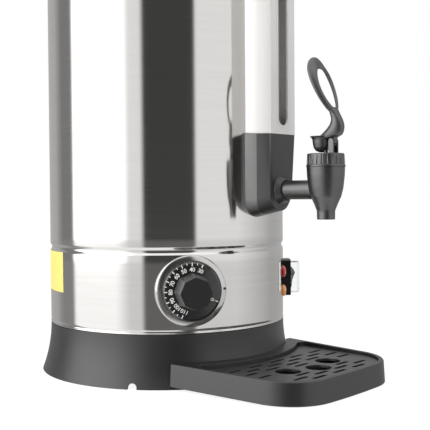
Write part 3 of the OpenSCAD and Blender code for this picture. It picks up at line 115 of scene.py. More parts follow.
# ------------------------------------------------------------------ node trees
class Tree:
    """A node tree with short calls: t.add(kind, {props}, Socket=value or output)."""

    def __init__(self, tree):
        self.t = tree
        tree.nodes.clear()

    def add(self, kind, props=None, **sockets):
        n = self.t.nodes.new(kind)
        for k, v in (props or {}).items():
            setattr(n, k, v)
        for k, v in sockets.items():
            s = n.inputs[int(k[1:])] if k[0] == "i" and k[1:].isdigit() else n.inputs[k.replace("_", " ")]
            if isinstance(v, bpy.types.NodeSocket):
                self.t.links.new(v, s)
            else:
                s.default_value = v
        return n

    def math(self, op, a, b=0.0, c=0.0, clamp=False):
        return self.add("ShaderNodeMath", {"operation": op, "use_clamp": clamp}, i0=a, i1=b, i2=c).outputs[0]

    def ramp(self, fac, stops, mode="LINEAR"):
        n = self.add("ShaderNodeValToRGB", Fac=fac)
        cr = n.color_ramp
        cr.interpolation = mode
        while len(cr.elements) > 1:
            cr.elements.remove(cr.elements[0])
        cr.elements[0].position = stops[0][0]
        for p, c in stops[1:]:
            cr.elements.new(p)
        for e, (p, c) in zip(cr.elements, stops):
            e.color = (c, c, c, 1) if isinstance(c, (int, float)) else (*c, 1)
        return n.outputs[0]

    def mix(self, fac, a, b):
        """Mix of two colours, each a socket or (red, green, blue)."""
        a, b = ((*c, 1) if isinstance(c, tuple) else c for c in (a, b))
        return self.add("ShaderNodeMix", {"data_type": "RGBA"}, i0=fac, i6=a, i7=b).outputs[2]

    def mix_shaders(self, fac, a, b):
        return self.add("ShaderNodeMixShader", {}, i0=fac, i1=a.outputs[0], i2=b.outputs[0])

    def smooth_step(self, value, start, end):
        return self.add("ShaderNodeMapRange", {"interpolation_type": "SMOOTHSTEP"}, i0=value, i1=start,
                        i2=end, i3=0.0, i4=1.0).outputs[0]

    def ray_kinds(self):
        """Two factors: the ray is glossy, and the camera sees it straight or through glass."""
        path = self.add("ShaderNodeLightPath")
        seen = self.math("MAXIMUM", path.outputs["Is Camera Ray"], path.outputs["Is Transmission Ray"])
        return path.outputs["Is Glossy Ray"], seen

    def coords(self, scale, kind="Object"):
        c = self.add("ShaderNodeTexCoord").outputs[kind]
        return self.add("ShaderNodeMapping", {}, Vector=c, Scale=scale).outputs[0]

    def noise(self, vector, scale, detail=2.0, rough=0.5):
        return self.add("ShaderNodeTexNoise", {}, Vector=vector, Scale=scale, Detail=detail,
                        Roughness=rough).outputs["Fac"]

    def bump(self, height, strength, distance, normal=None):
        n = self.add("ShaderNodeBump", {}, Height=height, Strength=strength, Distance=distance)
        if normal is not None:
            self.t.links.new(normal, n.inputs["Normal"])
        return n.outputs[0]


mats = {}


def new_material(name):
    """Empty node material, kept in mats under its name."""
    m = bpy.data.materials.new(name)
    m.use_nodes = True
    mats[name] = m
    return m, Tree(m.node_tree)


def finish_material(m, t, **sockets):
    p = t.add("ShaderNodeBsdfPrincipled", {}, **sockets)
    t.add("ShaderNodeOutputMaterial", {}, Surface=p.outputs[0])
    m.diffuse_color = (*p.inputs["Base Color"].default_value[:3], 1)


# ------------------------------------------------------------------ materials
def plastic(name, colour, rough=0.42, grain=0.12, grain_mm=0.35, edge=0.5, vary=0.16, spec=1.0,
            ior=1.65, painted_edge_light=0.25, streaks=None):
    """Moulded plastic: fine texture, slightly uneven gloss and softly lit edges, with a painted highlight in
    their colour.
    """
    m, t = new_material(name)
    pos = t.coords((1, 1, 1))
    soft = t.add("ShaderNodeBevel", {"samples": 6}, Radius=edge * MM)
    fine = t.noise(pos, 1 / (grain_mm * MM), 3, 0.6)
    cloud = t.noise(pos, 28, 4, 0.6)
    mottle = t.noise(pos, 260, 3, 0.6)
    # painted highlight: the edges are painted lighter where the rounded normal turns away from the true one
    geo = t.add("ShaderNodeNewGeometry")
    dot = t.add("ShaderNodeVectorMath", {"operation": "DOT_PRODUCT"}, i0=geo.outputs["True Normal"],
                i1=soft.outputs[0]).outputs["Value"]
    painted_highlight_mask = t.math("SUBTRACT", 1.0, dot, clamp=True)
    painted_highlight_mask = t.math("MULTIPLY", painted_highlight_mask, painted_edge_light * 3, clamp=True)
    dark = tuple(c * (1 - vary) for c in colour)
    light = tuple(min(1, c * (1 + vary)) for c in colour)
    base = t.mix(cloud, dark, light)
    base = t.mix(t.math("MULTIPLY", mottle, 0.3), base, tuple(min(1, c * 1.25) for c in colour))
    # painted highlight: lighter colour along the edges
    base = t.mix(painted_highlight_mask, base, tuple(min(1, c * 2.2 + 0.01) for c in colour))
    rg = t.math("MULTIPLY_ADD", cloud, 0.14, rough - 0.07)
    rg = t.math("MULTIPLY_ADD", fine, 0.06, rg)
    if streaks:
        lines = t.noise(t.coords(streaks), 1.0, 3, 0.6)
        rg = t.math("MULTIPLY_ADD", lines, 0.10, t.math("SUBTRACT", rg, 0.05))
    nrm = t.bump(fine, grain, 0.05 * MM, soft.outputs[0])
    finish_material(m, t, Base_Color=base, Roughness=rg, Normal=nrm, Specular_IOR_Level=spec, IOR=ior)


def steel(name, colour, rough, brush, strength, vary, aniso=0.0, edge=0.0, metallic=1.0):
    """Brushed and polished sheet: long fine scratches across the given stretch."""
    m, t = new_material(name)
    pos = t.coords((1, 1, 1))
    lines = t.noise(t.coords(brush), 1.0, 3, 0.65)
    broad = t.noise(t.coords(tuple(b * 0.22 for b in brush)), 1.0, 2, 0.5)
    smudge = t.noise(pos, 9, 4, 0.6)
    tone = t.math("MULTIPLY_ADD", lines, 0.6, t.math("MULTIPLY", broad, 0.4))
    dark = tuple(c * (1 - vary) for c in colour)
    light = tuple(min(1, c * (1 + vary)) for c in colour)
    base = t.mix(tone, dark, light)
    rg = t.math("MULTIPLY_ADD", lines, 0.10, rough - 0.05)
    rg = t.math("MULTIPLY_ADD", smudge, 0.06, t.math("SUBTRACT", rg, 0.03))
    normal = t.add("ShaderNodeBevel", {"samples": 4}, Radius=edge * MM).outputs[0] if edge else None
    nrm = t.bump(lines, strength, 0.012 * MM, normal)
    sockets = dict(Base_Color=base, Metallic=metallic, Roughness=rg, Normal=nrm)
    if aniso:
        sockets.update(Anisotropic=aniso, Anisotropic_Rotation=0.25)
        sockets["Tangent"] = t.add("ShaderNodeTangent", {"direction_type": "RADIAL", "axis": "Z"}).outputs[0]
    finish_material(m, t, **sockets)


def metal(name, colour, rough, edge, noise_scale, strength):
    """Plain metal with a fine grain and cloudy tone."""
    m, t = new_material(name)
    pos = t.coords((1, 1, 1))
    n = t.noise(pos, noise_scale, 4, 0.6)
    cloud = t.noise(pos, 60, 3, 0.6)
    soft = t.add("ShaderNodeBevel", {"samples": 4}, Radius=edge * MM)
    base = t.mix(cloud, tuple(c * 0.88 for c in colour), colour)
    rg = t.math("MULTIPLY_ADD", n, 0.14, rough - 0.07)
    finish_material(m, t, Base_Color=base, Metallic=1.0, Roughness=rg,
                    Normal=t.bump(n, strength, 0.03 * MM, soft.outputs[0]))


def rubber(name, colour, rough):
    """Dull silicone."""
    m, t = new_material(name)
    pos = t.coords((1, 1, 1))
    n = t.noise(pos, 900, 3, 0.6)
    base = t.mix(t.noise(pos, 80, 3), tuple(c * 0.85 for c in colour), colour)
    finish_material(m, t, Base_Color=base, Roughness=t.math("MULTIPLY_ADD", n, 0.1, rough - 0.05),
                    Normal=t.bump(n, 0.1, 0.05 * MM))


def clear(name, colour, rough, ior, veil_and_edge_sheen=0.0):
    """Clear plastic or glass; the last argument is the share of a whitish veil on it, and the veil's rise
    towards the grazing edges is a painted reflection.
    """
    m, t = new_material(name)
    pos = t.coords((1, 1, 1))
    rg = t.math("MULTIPLY_ADD", t.noise(pos, 30, 3, 0.6), 0.04, rough)
    p = t.add("ShaderNodeBsdfPrincipled", {}, Base_Color=(*colour, 1), Roughness=rg,
              Transmission_Weight=1.0, IOR=ior)
    shadow = t.add("ShaderNodeLightPath").outputs["Is Shadow Ray"]
    veil = t.add("ShaderNodeBsdfTransparent", {}, Color=(0.9, 0.92, 0.92, 1))
    both = t.mix_shaders(shadow, p, veil)
    if veil_and_edge_sheen:
        # painted reflection: more of the whitish veil towards the grazing edges
        edge = t.add("ShaderNodeLayerWeight", {}, Blend=0.3).outputs["Facing"]
        share = t.math("MULTIPLY_ADD", edge, veil_and_edge_sheen * 2, veil_and_edge_sheen, clamp=True)
        scale = t.add("ShaderNodeBsdfDiffuse", {}, Color=(0.86, 0.86, 0.84, 1))
        both = t.mix_shaders(share, both, scale)
    t.add("ShaderNodeOutputMaterial", {}, Surface=both.outputs[0])
    m.diffuse_color = (*colour, 0.3)


def lens(name, colour, glow):
    """Lamp lens with fine ribs and a faint glow."""
    m, t = new_material(name)
    pos = t.coords((1, 1, 1))
    rings = t.add("ShaderNodeTexWave", {"wave_type": "BANDS", "bands_direction": "Z"}, Vector=pos,
                  Scale=420.0, Distortion=0.4).outputs["Fac"]
    base = t.mix(rings, tuple(c * 0.7 for c in colour), colour)
    finish_material(m, t, Base_Color=base, Roughness=0.12, Normal=t.bump(rings, 0.25, 0.1 * MM),
                    Emission_Color=(*colour, 1), Emission_Strength=glow, Coat_Weight=0.6, Coat_Roughness=0.05)


BLACK = (0.0130, 0.0122, 0.0118)
GLOSSY_BLACK = (0.010, 0.0095, 0.009)
SATIN = dict(spec=0.85, ior=1.5)
MATT = dict(spec=0.5, ior=1.5)
plastic("skirt_plastic", BLACK, 0.36, 0.10, 0.4, 0.6, streaks=(14, 14, 420), **SATIN)
plastic("bracket_plastic", BLACK, 0.28, 0.12, 0.35, 0.5, ior=1.8)
plastic("bracket_front", BLACK, 0.33, 0.12, 0.35, 0.5, spec=0.8, ior=1.5)
plastic("tap_plastic", BLACK, 0.30, 0.12, 0.3, 0.35)
plastic("lever_plastic", BLACK, 0.36, 0.14, 0.3, 0.3)
plastic("tray_plastic", BLACK, 0.34, 0.12, 0.35, 0.7, **SATIN)
plastic("grille_plastic", BLACK, 0.36, 0.2, 0.35, 0.3)
plastic("handle_plastic", BLACK, 0.32, 0.08, 0.4, 0.6)
# the glossy blacks and the print get less or none of the painted edge highlight
plastic("gloss_black", GLOSSY_BLACK, 0.14, 0.04, 0.5, 0.35, painted_edge_light=0.15, **MATT)
plastic("dial_black", GLOSSY_BLACK, 0.13, 0.05, 0.4, 0.3, painted_edge_light=0.1, ior=1.5)
plastic("grip_top", (0.009, 0.0085, 0.0085), 0.40, 0.10, 0.4, 0.2, **MATT)
plastic("grip_side", BLACK, 0.42, 0.10, 0.4, 0.2, ior=2.1)
plastic("rocker_grey", (0.020, 0.019, 0.018), 0.28, 0.06, 0.4, 0.35)
plastic("stem_plastic", BLACK, 0.40, 0.10, 0.3, 0.2)
plastic("print_white", (0.80, 0.80, 0.78), 0.5, 0.05, 0.2, 0.02, vary=0.05, painted_edge_light=0.0, **MATT)
plastic("print_dark", (0.03, 0.03, 0.03), 0.5, 0.05, 0.2, 0.02, painted_edge_light=0.0, **MATT)
plastic("sticker", (0.88, 0.74, 0.20), 0.5, 0.05, 0.3, 0.02, vary=0.06, painted_edge_light=0.0, **MATT)
steel("shell_steel", (0.70, 0.685, 0.67), 0.11, (20, 20, 1500), 0.42, 0.08, aniso=0.6)
steel("trim_steel", (0.72, 0.71, 0.69), 0.14, (30, 30, 1500), 0.12, 0.04)
steel("channel_steel", (0.80, 0.785, 0.77), 0.33, (1900, 1900, 22), 0.4, 0.10, edge=0.5, metallic=0.35)
steel("lid_steel", (0.72, 0.71, 0.69), 0.17, (240, 240, 240), 0.04, 0.05)
steel("tank_steel", (0.66, 0.65, 0.64), 0.3, (40, 40, 900), 0.25, 0.08)
metal("bezel_steel", (0.62, 0.61, 0.60), 0.16, 0.25, 200, 0.03)
metal("zinc", (0.50, 0.51, 0.52), 0.42, 0.3, 300, 0.1)
metal("screw_steel", (0.60, 0.59, 0.58), 0.3, 0.15, 500, 0.1)
metal("aluminium", (0.62, 0.62, 0.63), 0.5, 0.4, 700, 0.4)
metal("sheath", (0.27, 0.25, 0.23), 0.45, 0.2, 600, 0.3)
metal("copper", (0.70, 0.40, 0.24), 0.3, 0.1, 400, 0.1)
rubber("silicone", (0.70, 0.68, 0.64), 0.55)
rubber("dark_silicone", (0.05, 0.048, 0.046), 0.5)
plastic("control_plastic", (0.030, 0.028, 0.026), 0.45, 0.1, 0.4, 0.3)
plastic("red_plastic", (0.48, 0.03, 0.025), 0.3, 0.05, 0.4, 0.3, **MATT)
plastic("ceramic", (0.74, 0.71, 0.65), 0.3, 0.06, 0.4, 0.3, vary=0.05, **MATT)
clear("glass", (0.93, 0.96, 0.97), 0.02, 1.47, 0.16)
clear("cover_film", (0.96, 0.97, 0.97), 0.06, 1.25)
lens("lamp_red", (0.50, 0.025, 0.02), 0.12)
lens("lamp_amber", (0.80, 0.34, 0.10), 0.15)


# ------------------------------------------------------------------ pieces
def link(obj, body, replaces=()):
    """Puts a new piece in the scene, on its body."""
    bpy.context.scene.collection.objects.link(obj)
    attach(obj, body)
    if replaces:
        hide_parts(*replaces)
    return obj


def smooth_by_angle(bm, angle):
    """Smooth shading, with sharp edges where two faces meet at more than angle degrees."""
    limit = math.radians(angle)
    for f in bm.faces:
        f.smooth = True
    for e in bm.edges:
        e.smooth = not (len(e.link_faces) == 2 and e.calc_face_angle(0) > limit)


def make_mesh(name, verts, faces, mat, angle=35):
    """New object from points in mm, with outward normals."""
    me = bpy.data.meshes.new(name)
    me.from_pydata([Vector(v) * MM for v in verts], [], faces)
    bm = bmesh.new()
    bm.from_mesh(me)
    bmesh.ops.remove_doubles(bm, verts=bm.verts, dist=1e-6)
    bmesh.ops.recalc_face_normals(bm, faces=bm.faces)
    smooth_by_angle(bm, angle)
    bm.to_mesh(me)
    bm.free()
    me.materials.append(mats[mat])
    return bpy.data.objects.new(name, me)


def revolve(name, profile, steps, mat, place=None, angle=35):
    """Ring swept by profile, a closed loop of (radius, height) in mm, about Z or about place's X."""
    n = len(profile)
    verts, faces = [], []
    for i in range(steps):
        k = (i + 1) % steps
        a = 2 * math.pi * i / steps
        c, s = math.cos(a), math.sin(a)
        verts += [place(h, r * c, r * s) if place else (r * c, r * s, h) for r, h in profile]
        faces += [(i * n + j, k * n + j, k * n + (j + 1) % n, i * n + (j + 1) % n) for j in range(n)]
    return make_mesh(name, verts, faces, mat, angle)


bodies_of = {n: b for b, ns in frame["record"]["behaviour"]["bodies"].items() for n in ns}


def fold_deeper(fold, z_low, z_high):
    """Shape for dress(): a side wall pressed further in along its fold, round a rounded end too."""
    def move(v):
        x, y, z = (c / MM for c in v)
        near = min((-y - WALL_R) / (fold - WALL_R), (CHANNEL_FACE + y) / (CHANNEL_FACE - fold))
        near = max(0.0, min(1.0, near))
        dz = min(0.0, z - z_low) + max(0.0, z - z_high)
        reach = math.hypot(x, dz)
        press = FOLD_PRESS * near * max(0.0, min(1.0, (reach - FOLD_FROM) / FOLD_RUN))
        keep = 1 - press / reach if reach else 1
        return Vector((x * keep, y + FOLD_BACK * press, z - dz + dz * keep)) * MM
    return move


def dress(node, mat, angle=32, remesh=None, relax=0, shape=None, others=(), where=None):
    """Copy of a CAD node with joined vertices, true smooth shading and its own material.
    shape(point) moves its points. remesh is a voxel in mm, and relax the smoothing after it.
    where(centre, normal), in mm, gives a face's number in the list of mat and others."""
    src = frame["nodes"][node]
    me = src.data.copy()
    me.name = node + "_skin"
    bm = bmesh.new()
    bm.from_mesh(me)
    bmesh.ops.remove_doubles(bm, verts=bm.verts, dist=2e-6)
    bmesh.ops.dissolve_degenerate(bm, edges=bm.edges, dist=1e-7)
    if shape:
        for v in bm.verts:
            v.co = shape(v.co)
    if remesh:
        bm.to_mesh(me)
        bm.free()
        tmp = bpy.data.objects.new("tmp", me)
        bpy.context.scene.collection.objects.link(tmp)
        mod = tmp.modifiers.new("r", "REMESH")
        mod.mode = "VOXEL"
        mod.voxel_size = remesh * MM
        if relax:
            sm = tmp.modifiers.new("s", "SMOOTH")
            sm.factor, sm.iterations = 0.5, relax
        dg = bpy.context.evaluated_depsgraph_get()
        me = bpy.data.meshes.new_from_object(tmp.evaluated_get(dg))
        me.name = node + "_skin"
        bpy.data.objects.remove(tmp)
        bm = bmesh.new()
        bm.from_mesh(me)
        angle = 180
    smooth_by_angle(bm, angle)
    for f in bm.faces:
        f.material_index = int(where(f.calc_center_median() / MM, f.normal)) if where else 0
    me.materials.clear()
    for m in (mat, *others):
        me.materials.append(mats[m])
    bm.to_mesh(me)
    bm.free()
    obj = bpy.data.objects.new(node + "_skin", me)
    obj.matrix_world = src.matrix_world.copy()
    return link(obj, bodies_of[node], [node])


def paint(node, mat):
    """The CAD node stays and takes a procedural material."""
    me = frame["nodes"][node].data
    me.materials.clear()
    me.materials.append(mats[mat])


def at(angle, z):
    """Local frame on the wall: X out, Y to a viewer's right, Z up, in mm."""
    a = math.radians(angle)
    out = Vector((math.sin(a), -math.cos(a), 0))
    side = Vector((math.cos(a), math.sin(a), 0))
    return lambda x, y, h: tuple(out * x + side * y + Vector((0, 0, z + h)))


def disc_rise(r):
    """Height of the dial's coned disc above its rim."""
    return DISC_SLOPE * max(0.0, DISC_SLOPE_R - r)


# ------------------------------------------------------------------ body
def arc(cx, cz, r, a0, a1, n):
    """Points of an arc from angle a0 to a1, in n steps."""
    return [(cx + r * math.cos(math.radians(a0 + (a1 - a0) * i / n)),
             cz + r * math.sin(math.radians(a0 + (a1 - a0) * i / n))) for i in range(n + 1)]


def add_shell():
    """Outer wall with its curled hem, the neck above it and the rolled groove."""
    r, sheet = BODY_R, 0.8
    groove_depth, groove_half, groove_steps = 1.55, 4.2, 24
    lip_height, lip_width = 0.12, 0.25
    hem = arc(r - 0.55, BASE_H + 1.1, 0.8, -90, 90, 8)
    insets = ((0.75, 2.5), (0.7, 3.0), (0.3, 3.8), (0.05, 4.4), (0, 5.2))
    neck = [(r - inset, BASE_H + up) for inset, up in insets]
    groove = []
    for i in range(groove_steps + 1):
        s = -1 + 2 * i / groove_steps
        valley = groove_depth * (0.5 + 0.5 * math.cos(math.pi * abs(s) ** 1.15))
        lip = lip_height * math.exp(-((abs(s) - 1) / lip_width) ** 2)
        groove.append((r - (valley - lip), GROOVE_Z + s * groove_half))
    outer = hem + neck + [(r, GROOVE_Z - 12)] + groove + [(r, GROOVE_Z + 12), (r, 300), (r, RIM_Z)]
    inner = [(r - sheet, RIM_Z), (r - sheet, GROOVE_Z + 6), (r - 3 * sheet, GROOVE_Z),
             (r - sheet, GROOVE_Z - 6), (r - 1.4, BASE_H + 0.3)]
    wall = revolve("shell_wall", outer + inner, 360, "shell_steel")
    link(wall, "urn", ["outer_shell"])


add_shell()
dress("top_rim", "trim_steel")
dress("lid", "lid_steel")
dress("lid_knob", "handle_plastic")
dress("base_skirt", "skirt_plastic", 30)
dress("handle_left", "handle_plastic")
dress("handle_right", "handle_plastic")
dress("sight_cover", "channel_steel", 20, shape=fold_deeper(COVER_FOLD, 0, RIM_Z))
dress("sight_glass", "glass")
for n, low, high in (("bracket_lower", LOWER_ROUND_Z, RIM_Z), ("bracket_upper", 0, UPPER_ROUND_Z)):
    dress(n, "bracket_plastic", 22, shape=fold_deeper(BRACKET_FOLD, low, high), others=["bracket_front"],
          where=lambda centre, normal: -centre.y > BRACKET_FOLD)
dress("tap_body", "tap_plastic", 30)
dress("tap_bonnet", "tap_plastic", 30)
dress("tap_lever", "lever_plastic", remesh=0.4, relax=6)
dress("tray_body", "tray_plastic", 30)
dress("tray_grille", "grille_plastic", 30)
dial_out = Vector((math.sin(math.radians(DIAL_ANGLE)), -math.cos(math.radians(DIAL_ANGLE)), 0))


def dial_shape(v):
    """Disc slightly coned, grip lower and with more draft than the solid."""
    centre = dial_out * v.dot(dial_out) + Vector((0, 0, DIAL_Z * MM))
    h, away = v.dot(dial_out) / MM, v - centre
    reach = away.length / MM
    if h > DISC_FACE + 1:
        return v + dial_out * (DISC_FACE - h) * GRIP_SINK * MM + away * GRIP_TOP
    if abs(h - DISC_FACE) < 0.3 and GRIP_BASE_IN < reach < GRIP_BASE_OUT:
        return v + away * GRIP_BASE + dial_out * disc_rise(reach * (1 + GRIP_BASE)) * MM
    return v


def dial_finish(centre, normal):
    """0 on the disc, 1 on the grip's top and 2 on its eight sides."""
    if centre.dot(dial_out) < DISC_FACE + 1:
        return 0
    return 1 if normal.dot(dial_out) > 0.9 else 2


dress("dial_knob", "dial_black", 30, shape=dial_shape, others=["grip_top", "grip_side"],
      where=dial_finish)
dress("switch_housing", "gloss_black", 30)
dress("switch_rocker", "rocker_grey", 25)
dress("switch_cover", "cover_film", 30)
dress("lamp_red", "lamp_red")
dress("lamp_amber", "lamp_amber")
spring = dress("stem_spring", "screw_steel", 50)
dress("capillary", "copper", 50)
dress("tap_stem", "stem_plastic")
dress("cable_gland", "gloss_black", 30)
dress("outlet_tee", "control_plastic", 30)
for n, m in {
    "base_plate": "zinc", "base_screws": "screw_steel", "tie_rod": "screw_steel", "tie_nut": "screw_steel",
    "inner_tank": "tank_steel", "lid_seal": "silicone", "lid_knob_screw": "screw_steel",
    "handle_screws": "screw_steel", "heater_plate": "aluminium", "heater_ring": "sheath",
    "dry_cutout": "control_plastic", "reset_cutout": "control_plastic", "reset_button": "red_plastic",
    "thermostat_body": "ceramic", "thermostat_spindle": "screw_steel", "sight_seal_lower": "dark_silicone",
    "sight_seal_upper": "dark_silicone", "bracket_screws": "screw_steel", "outlet_gasket": "silicone",
    "outlet_nut": "screw_steel", "tap_washer": "dark_silicone", "seat_cup": "silicone",
    "lever_pin": "screw_steel", "gland_nut": "gloss_black", "terminal_block": "ceramic",
}.items():
    paint(n, m)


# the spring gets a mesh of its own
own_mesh(spring)


# ------------------------------------------------------------------ dial
def add_bezel():
    """Pressed dish round the dial: a shallow cone with a lip inside and a rolled edge outside."""
    back, floor, under = -4.8, 2.05, 1.2
    edge, inside, hole = 32.9, 31.0, 3.4
    rolled_edge = [(edge, back), (edge, 0.2), (32.75, 0.9), (32.35, 1.5), (31.7, 1.9)]
    lip = [(28.5, 2.75), (27.9, 2.9), (27.6, 2.75), (27.5, 2.3), (27.45, floor)]
    underside = [(hole, floor), (hole, under), (inside, under), (inside, back)]
    profile = [(r, BODY_R + out) for r, out in rolled_edge + lip + underside]
    dish = revolve("bezel_dish", profile, 144, "bezel_steel", at(DIAL_ANGLE, DIAL_Z), 28)
    link(dish, bodies_of["dial_bezel"], ["dial_bezel"])


add_bezel()


def add_dial_print():
    """White ring of plain numbers and strokes on the dial's disc."""
    place = at(DIAL_ANGLE, DIAL_Z)
    verts, faces = [], []
    # angles of the first number, from one number to the next, and of the zero
    first, step, zero = 67.2, 22.55, -22.8
    text_height, text_r, long_text_r = 5.2, 19.7, 19.2
    big_from, small_from, stroke_to = 22.9, 24.0, 25.9
    big_width, small_width = 0.9, 0.65

    def box(r0, r1, w, ang):
        """Thin raised stroke from radius r0 to r1."""
        a = math.radians(ang)
        c, s = math.cos(a), math.sin(a)
        base = len(verts)
        for x in (-0.05, 0.07):
            for rr, ww in ((r0, -w), (r1, -w), (r1, w), (r0, w)):
                verts.append(place(DISC_FACE + disc_rise(rr) + x, rr * c - ww / 2 * s, rr * s + ww / 2 * c))
        for q in ((0, 1, 2, 3), (7, 6, 5, 4), (0, 4, 5, 1), (1, 5, 6, 2), (2, 6, 7, 3), (3, 7, 4, 0)):
            faces.append(tuple(base + k for k in q))

    marks = [(zero, True)] + [(first + step * i, True) for i in range(9)]
    marks += [(first + step * (i + 0.5), False) for i in range(8)]
    for ang, big in marks:
        box(big_from if big else small_from, stroke_to, big_width if big else small_width, ang)
    link(make_mesh("dial_strokes", verts, faces, "print_white"), "dial")
    numbers = [("0", zero)] + [(str(30 + 10 * i), first + step * i) for i in range(9)]
    for body, ang in numbers:
        cu = bpy.data.curves.new("num", "FONT")
        cu.body = body
        cu.size = text_height * MM
        cu.space_character = 0.95
        cu.align_x, cu.align_y = "CENTER", "CENTER"
        cu.extrude = 0.06 * MM
        cu.offset = 0.08 * MM
        tmp = bpy.data.objects.new("tmp_num", cu)
        bpy.context.scene.collection.objects.link(tmp)
        dg = bpy.context.evaluated_depsgraph_get()
        me = bpy.data.meshes.new_from_object(tmp.evaluated_get(dg))
        bpy.data.objects.remove(tmp)
        a = math.radians(ang)
        r = text_r if len(body) < 3 else long_text_r
        turn = a - math.pi / 2
        ct, st = math.cos(turn), math.sin(turn)
        for v in me.vertices:
            x, y = v.co.x / MM, v.co.y / MM
            u = r * math.cos(a) + x * ct - y * st
            w = r * math.sin(a) + x * st + y * ct
            face = DISC_FACE + disc_rise(math.hypot(u, w)) + 0.01
            v.co = Vector(place(face + v.co.z / MM, u, w)) * MM
        me.materials.clear()
        me.materials.append(mats["print_white"])
        link(bpy.data.objects.new("dial_number_" + body, me), "dial")


add_dial_print()


def add_index_dot():
    """Small raised dark dot on the bezel, which the dial's numbers are read against."""
    place = at(DIAL_ANGLE, DIAL_Z)
    x0, y, z, r, h = KNOB_FACE + 0.05, 31.2, 1.5, 1.15, 0.35
    rings, n = 5, 20
    verts, faces = [], []
    for i in range(rings):
        e = math.radians(90 * i / rings)
        ring_r = r * math.cos(e)
        for j in range(n):
            a = 2 * math.pi * j / n
            verts.append(place(x0 + h * math.sin(e), y + ring_r * math.cos(a), z + ring_r * math.sin(a)))
    verts.append(place(x0 + h, y, z))
    for i in range(rings - 1):
        for j in range(n):
            k = (j + 1) % n
            faces.append((i * n + j, i * n + k, (i + 1) * n + k, (i + 1) * n + j))
    faces += [((rings - 1) * n + j, (rings - 1) * n + (j + 1) % n, rings * n) for j in range(n)]
    faces.append(tuple(range(n))[::-1])
    link(make_mesh("index_dot", verts, faces, "print_dark"), "urn")


add_index_dot()


def add_sticker():
    """Plain yellow sticker with nothing on it."""
    verts, faces, n = [], [], 24
    angle_from, angle_to = -128.0, -101.8
    bottom, top, gap, thick = 81.8, 120.4, 0.02, 0.12
    for r in (BODY_R + gap, BODY_R + gap + thick):
        for i in range(n + 1):
            a = math.radians(angle_from + (angle_to - angle_from) * i / n)
            for z in (bottom, top):
                verts.append((r * math.sin(a), -r * math.cos(a), z))
    m = 2 * (n + 1)
    for i in range(n):
        b = 2 * i
        faces += [(b, b + 1, b + 3, b + 2), (m + b, m + b + 2, m + b + 3, m + b + 1),
                  (b, b + 2, m + b + 2, m + b), (b + 1, m + b + 1, m + b + 3, b + 3)]
    faces += [(0, m, m + 1, 1), (2 * n, 2 * n + 1, m + 2 * n + 1, m + 2 * n)]
    link(make_mesh("blank_sticker", verts, faces, "sticker"), "urn")


add_sticker()


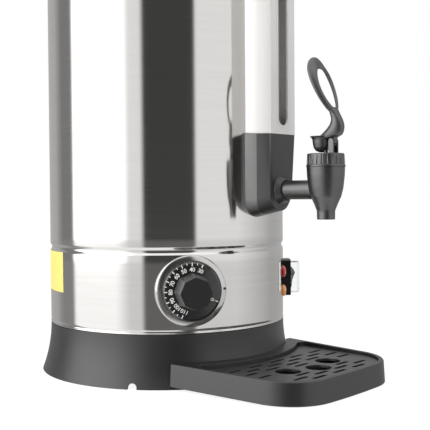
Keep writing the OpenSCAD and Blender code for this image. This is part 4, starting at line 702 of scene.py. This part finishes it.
# ------------------------------------------------------------------ studio
def add_world():
    """White room for the camera, even light, and panels that only reflections show."""
    w = bpy.data.worlds.new("studio")
    bpy.context.scene.world = w
    w.use_nodes = True
    t = Tree(w.node_tree)
    d = t.add("ShaderNodeTexCoord").outputs["Generated"]
    # turned so that the angle round the urn is 0 towards the camera and grows to its right
    turned = t.add("ShaderNodeMapping", {"vector_type": "VECTOR"}, Vector=d,
                   Rotation=(0, 0, math.radians(90 + TAP_TURN))).outputs[0]
    xyz = t.add("ShaderNodeSeparateXYZ", {}, Vector=turned)
    ang = t.math("ARCTAN2", xyz.outputs[1], xyz.outputs[0])
    pos = t.math("MULTIPLY_ADD", ang, 1 / (2 * math.pi), 0.5)
    # panels round the urn: from and to, in degrees to the right of the camera, and the level
    panels = [
        (-180, -135, 0.5),      # room behind
        (-120, -103, 0.25),     # dark curtain
        (-98, -50, 2.8),        # softbox
        (-36, -25, 1.0),        # white card
        (-21, 25, 0.06),        # black flag
        (28, 70, 1.0),          # white wall
        (120, 180, 0.5),        # room behind
    ]
    # a ramp's levels end at 1, so they are divided by this and the light is multiplied by it
    scale = 3.0

    def panel_ramp(tone):
        """Levels of the panels after tone(), fading evenly from each panel to the next."""
        stops = [((a + 180) / 360, tone(level) / scale) for low, high, level in panels for a in (low, high)]
        return t.ramp(pos, stops)

    upper = panel_ramp(lambda level: level)
    # the pale table adds light of its own and mirrors the panels dimly
    lower = panel_ramp(lambda level: 0.12 + 0.7 * min(level, 1.7))
    up = xyz.outputs[2]
    # the table begins a little below level, and above and below it the room is plain grey
    band = t.mix(t.smooth_step(up, -0.062, -0.08), upper, lower)
    studio = t.mix(t.smooth_step(up, 0.55, 0.9), band, (0.46, 0.46, 0.46))
    studio = t.mix(t.smooth_step(up, -0.5, -0.85), studio, (0.38, 0.38, 0.38))
    panels_seen = t.add("ShaderNodeBackground", {}, Color=studio, Strength=scale)
    even = t.add("ShaderNodeBackground", {}, Color=(1, 1, 1, 1), Strength=0.62)
    white = t.add("ShaderNodeBackground", {}, Color=(1, 1, 1, 1), Strength=1.0)
    glossy, seen = t.ray_kinds()
    shown = t.mix_shaders(seen, t.mix_shaders(glossy, even, panels_seen), white)
    t.add("ShaderNodeOutputWorld", {}, Surface=shown.outputs[0])


def add_floor():
    """Pale floor: white to the camera, with the urn's soft shadow, and open to reflections."""
    me = bpy.data.meshes.new("floor")
    half = 6.0
    corners = [(-half, -half, 0), (half, -half, 0), (half, half, 0), (-half, half, 0)]
    me.from_pydata(corners, [], [(0, 1, 2, 3)])
    obj = bpy.data.objects.new("floor", me)
    bpy.context.scene.collection.objects.link(obj)
    m, t = new_material("floor")
    pale = t.add("ShaderNodeBsdfDiffuse", {}, Color=(0.8, 0.8, 0.8, 1))
    glow = t.add("ShaderNodeEmission", {}, Color=(1, 1, 1, 1), Strength=0.86)
    shade = t.add("ShaderNodeBsdfDiffuse", {}, Color=(0.24, 0.24, 0.24, 1))
    white = t.add("ShaderNodeAddShader", {}, i0=glow.outputs[0], i1=shade.outputs[0])
    through = t.add("ShaderNodeBsdfTransparent")
    glossy, seen = t.ray_kinds()
    shown = t.mix_shaders(glossy, t.mix_shaders(seen, pale, white), through)
    t.add("ShaderNodeOutputMaterial", {}, Surface=shown.outputs[0])
    me.materials.append(m)


def area(name, place, target, size, power):
    """Soft lamp that reflections and the camera don't show."""
    lamp = bpy.data.lights.new(name, "AREA")
    lamp.shape = "RECTANGLE"
    lamp.size, lamp.size_y = size
    lamp.energy = power
    obj = bpy.data.objects.new(name, lamp)
    bpy.context.scene.collection.objects.link(obj)
    obj.location = place
    obj.rotation_euler = (Vector(target) - Vector(place)).to_track_quat("-Z", "Y").to_euler()
    obj.visible_glossy = False
    obj.visible_camera = False


add_world()
add_floor()
area("key", (-1.7, 0.1, 1.0), (0, 0, 0.2), (1.2, 1.4), 22)
area("top", (-0.2, -0.5, 1.9), (0, 0, 0.1), (1.4, 1.4), 12)
bpy.context.scene.view_settings.view_transform = "Standard"
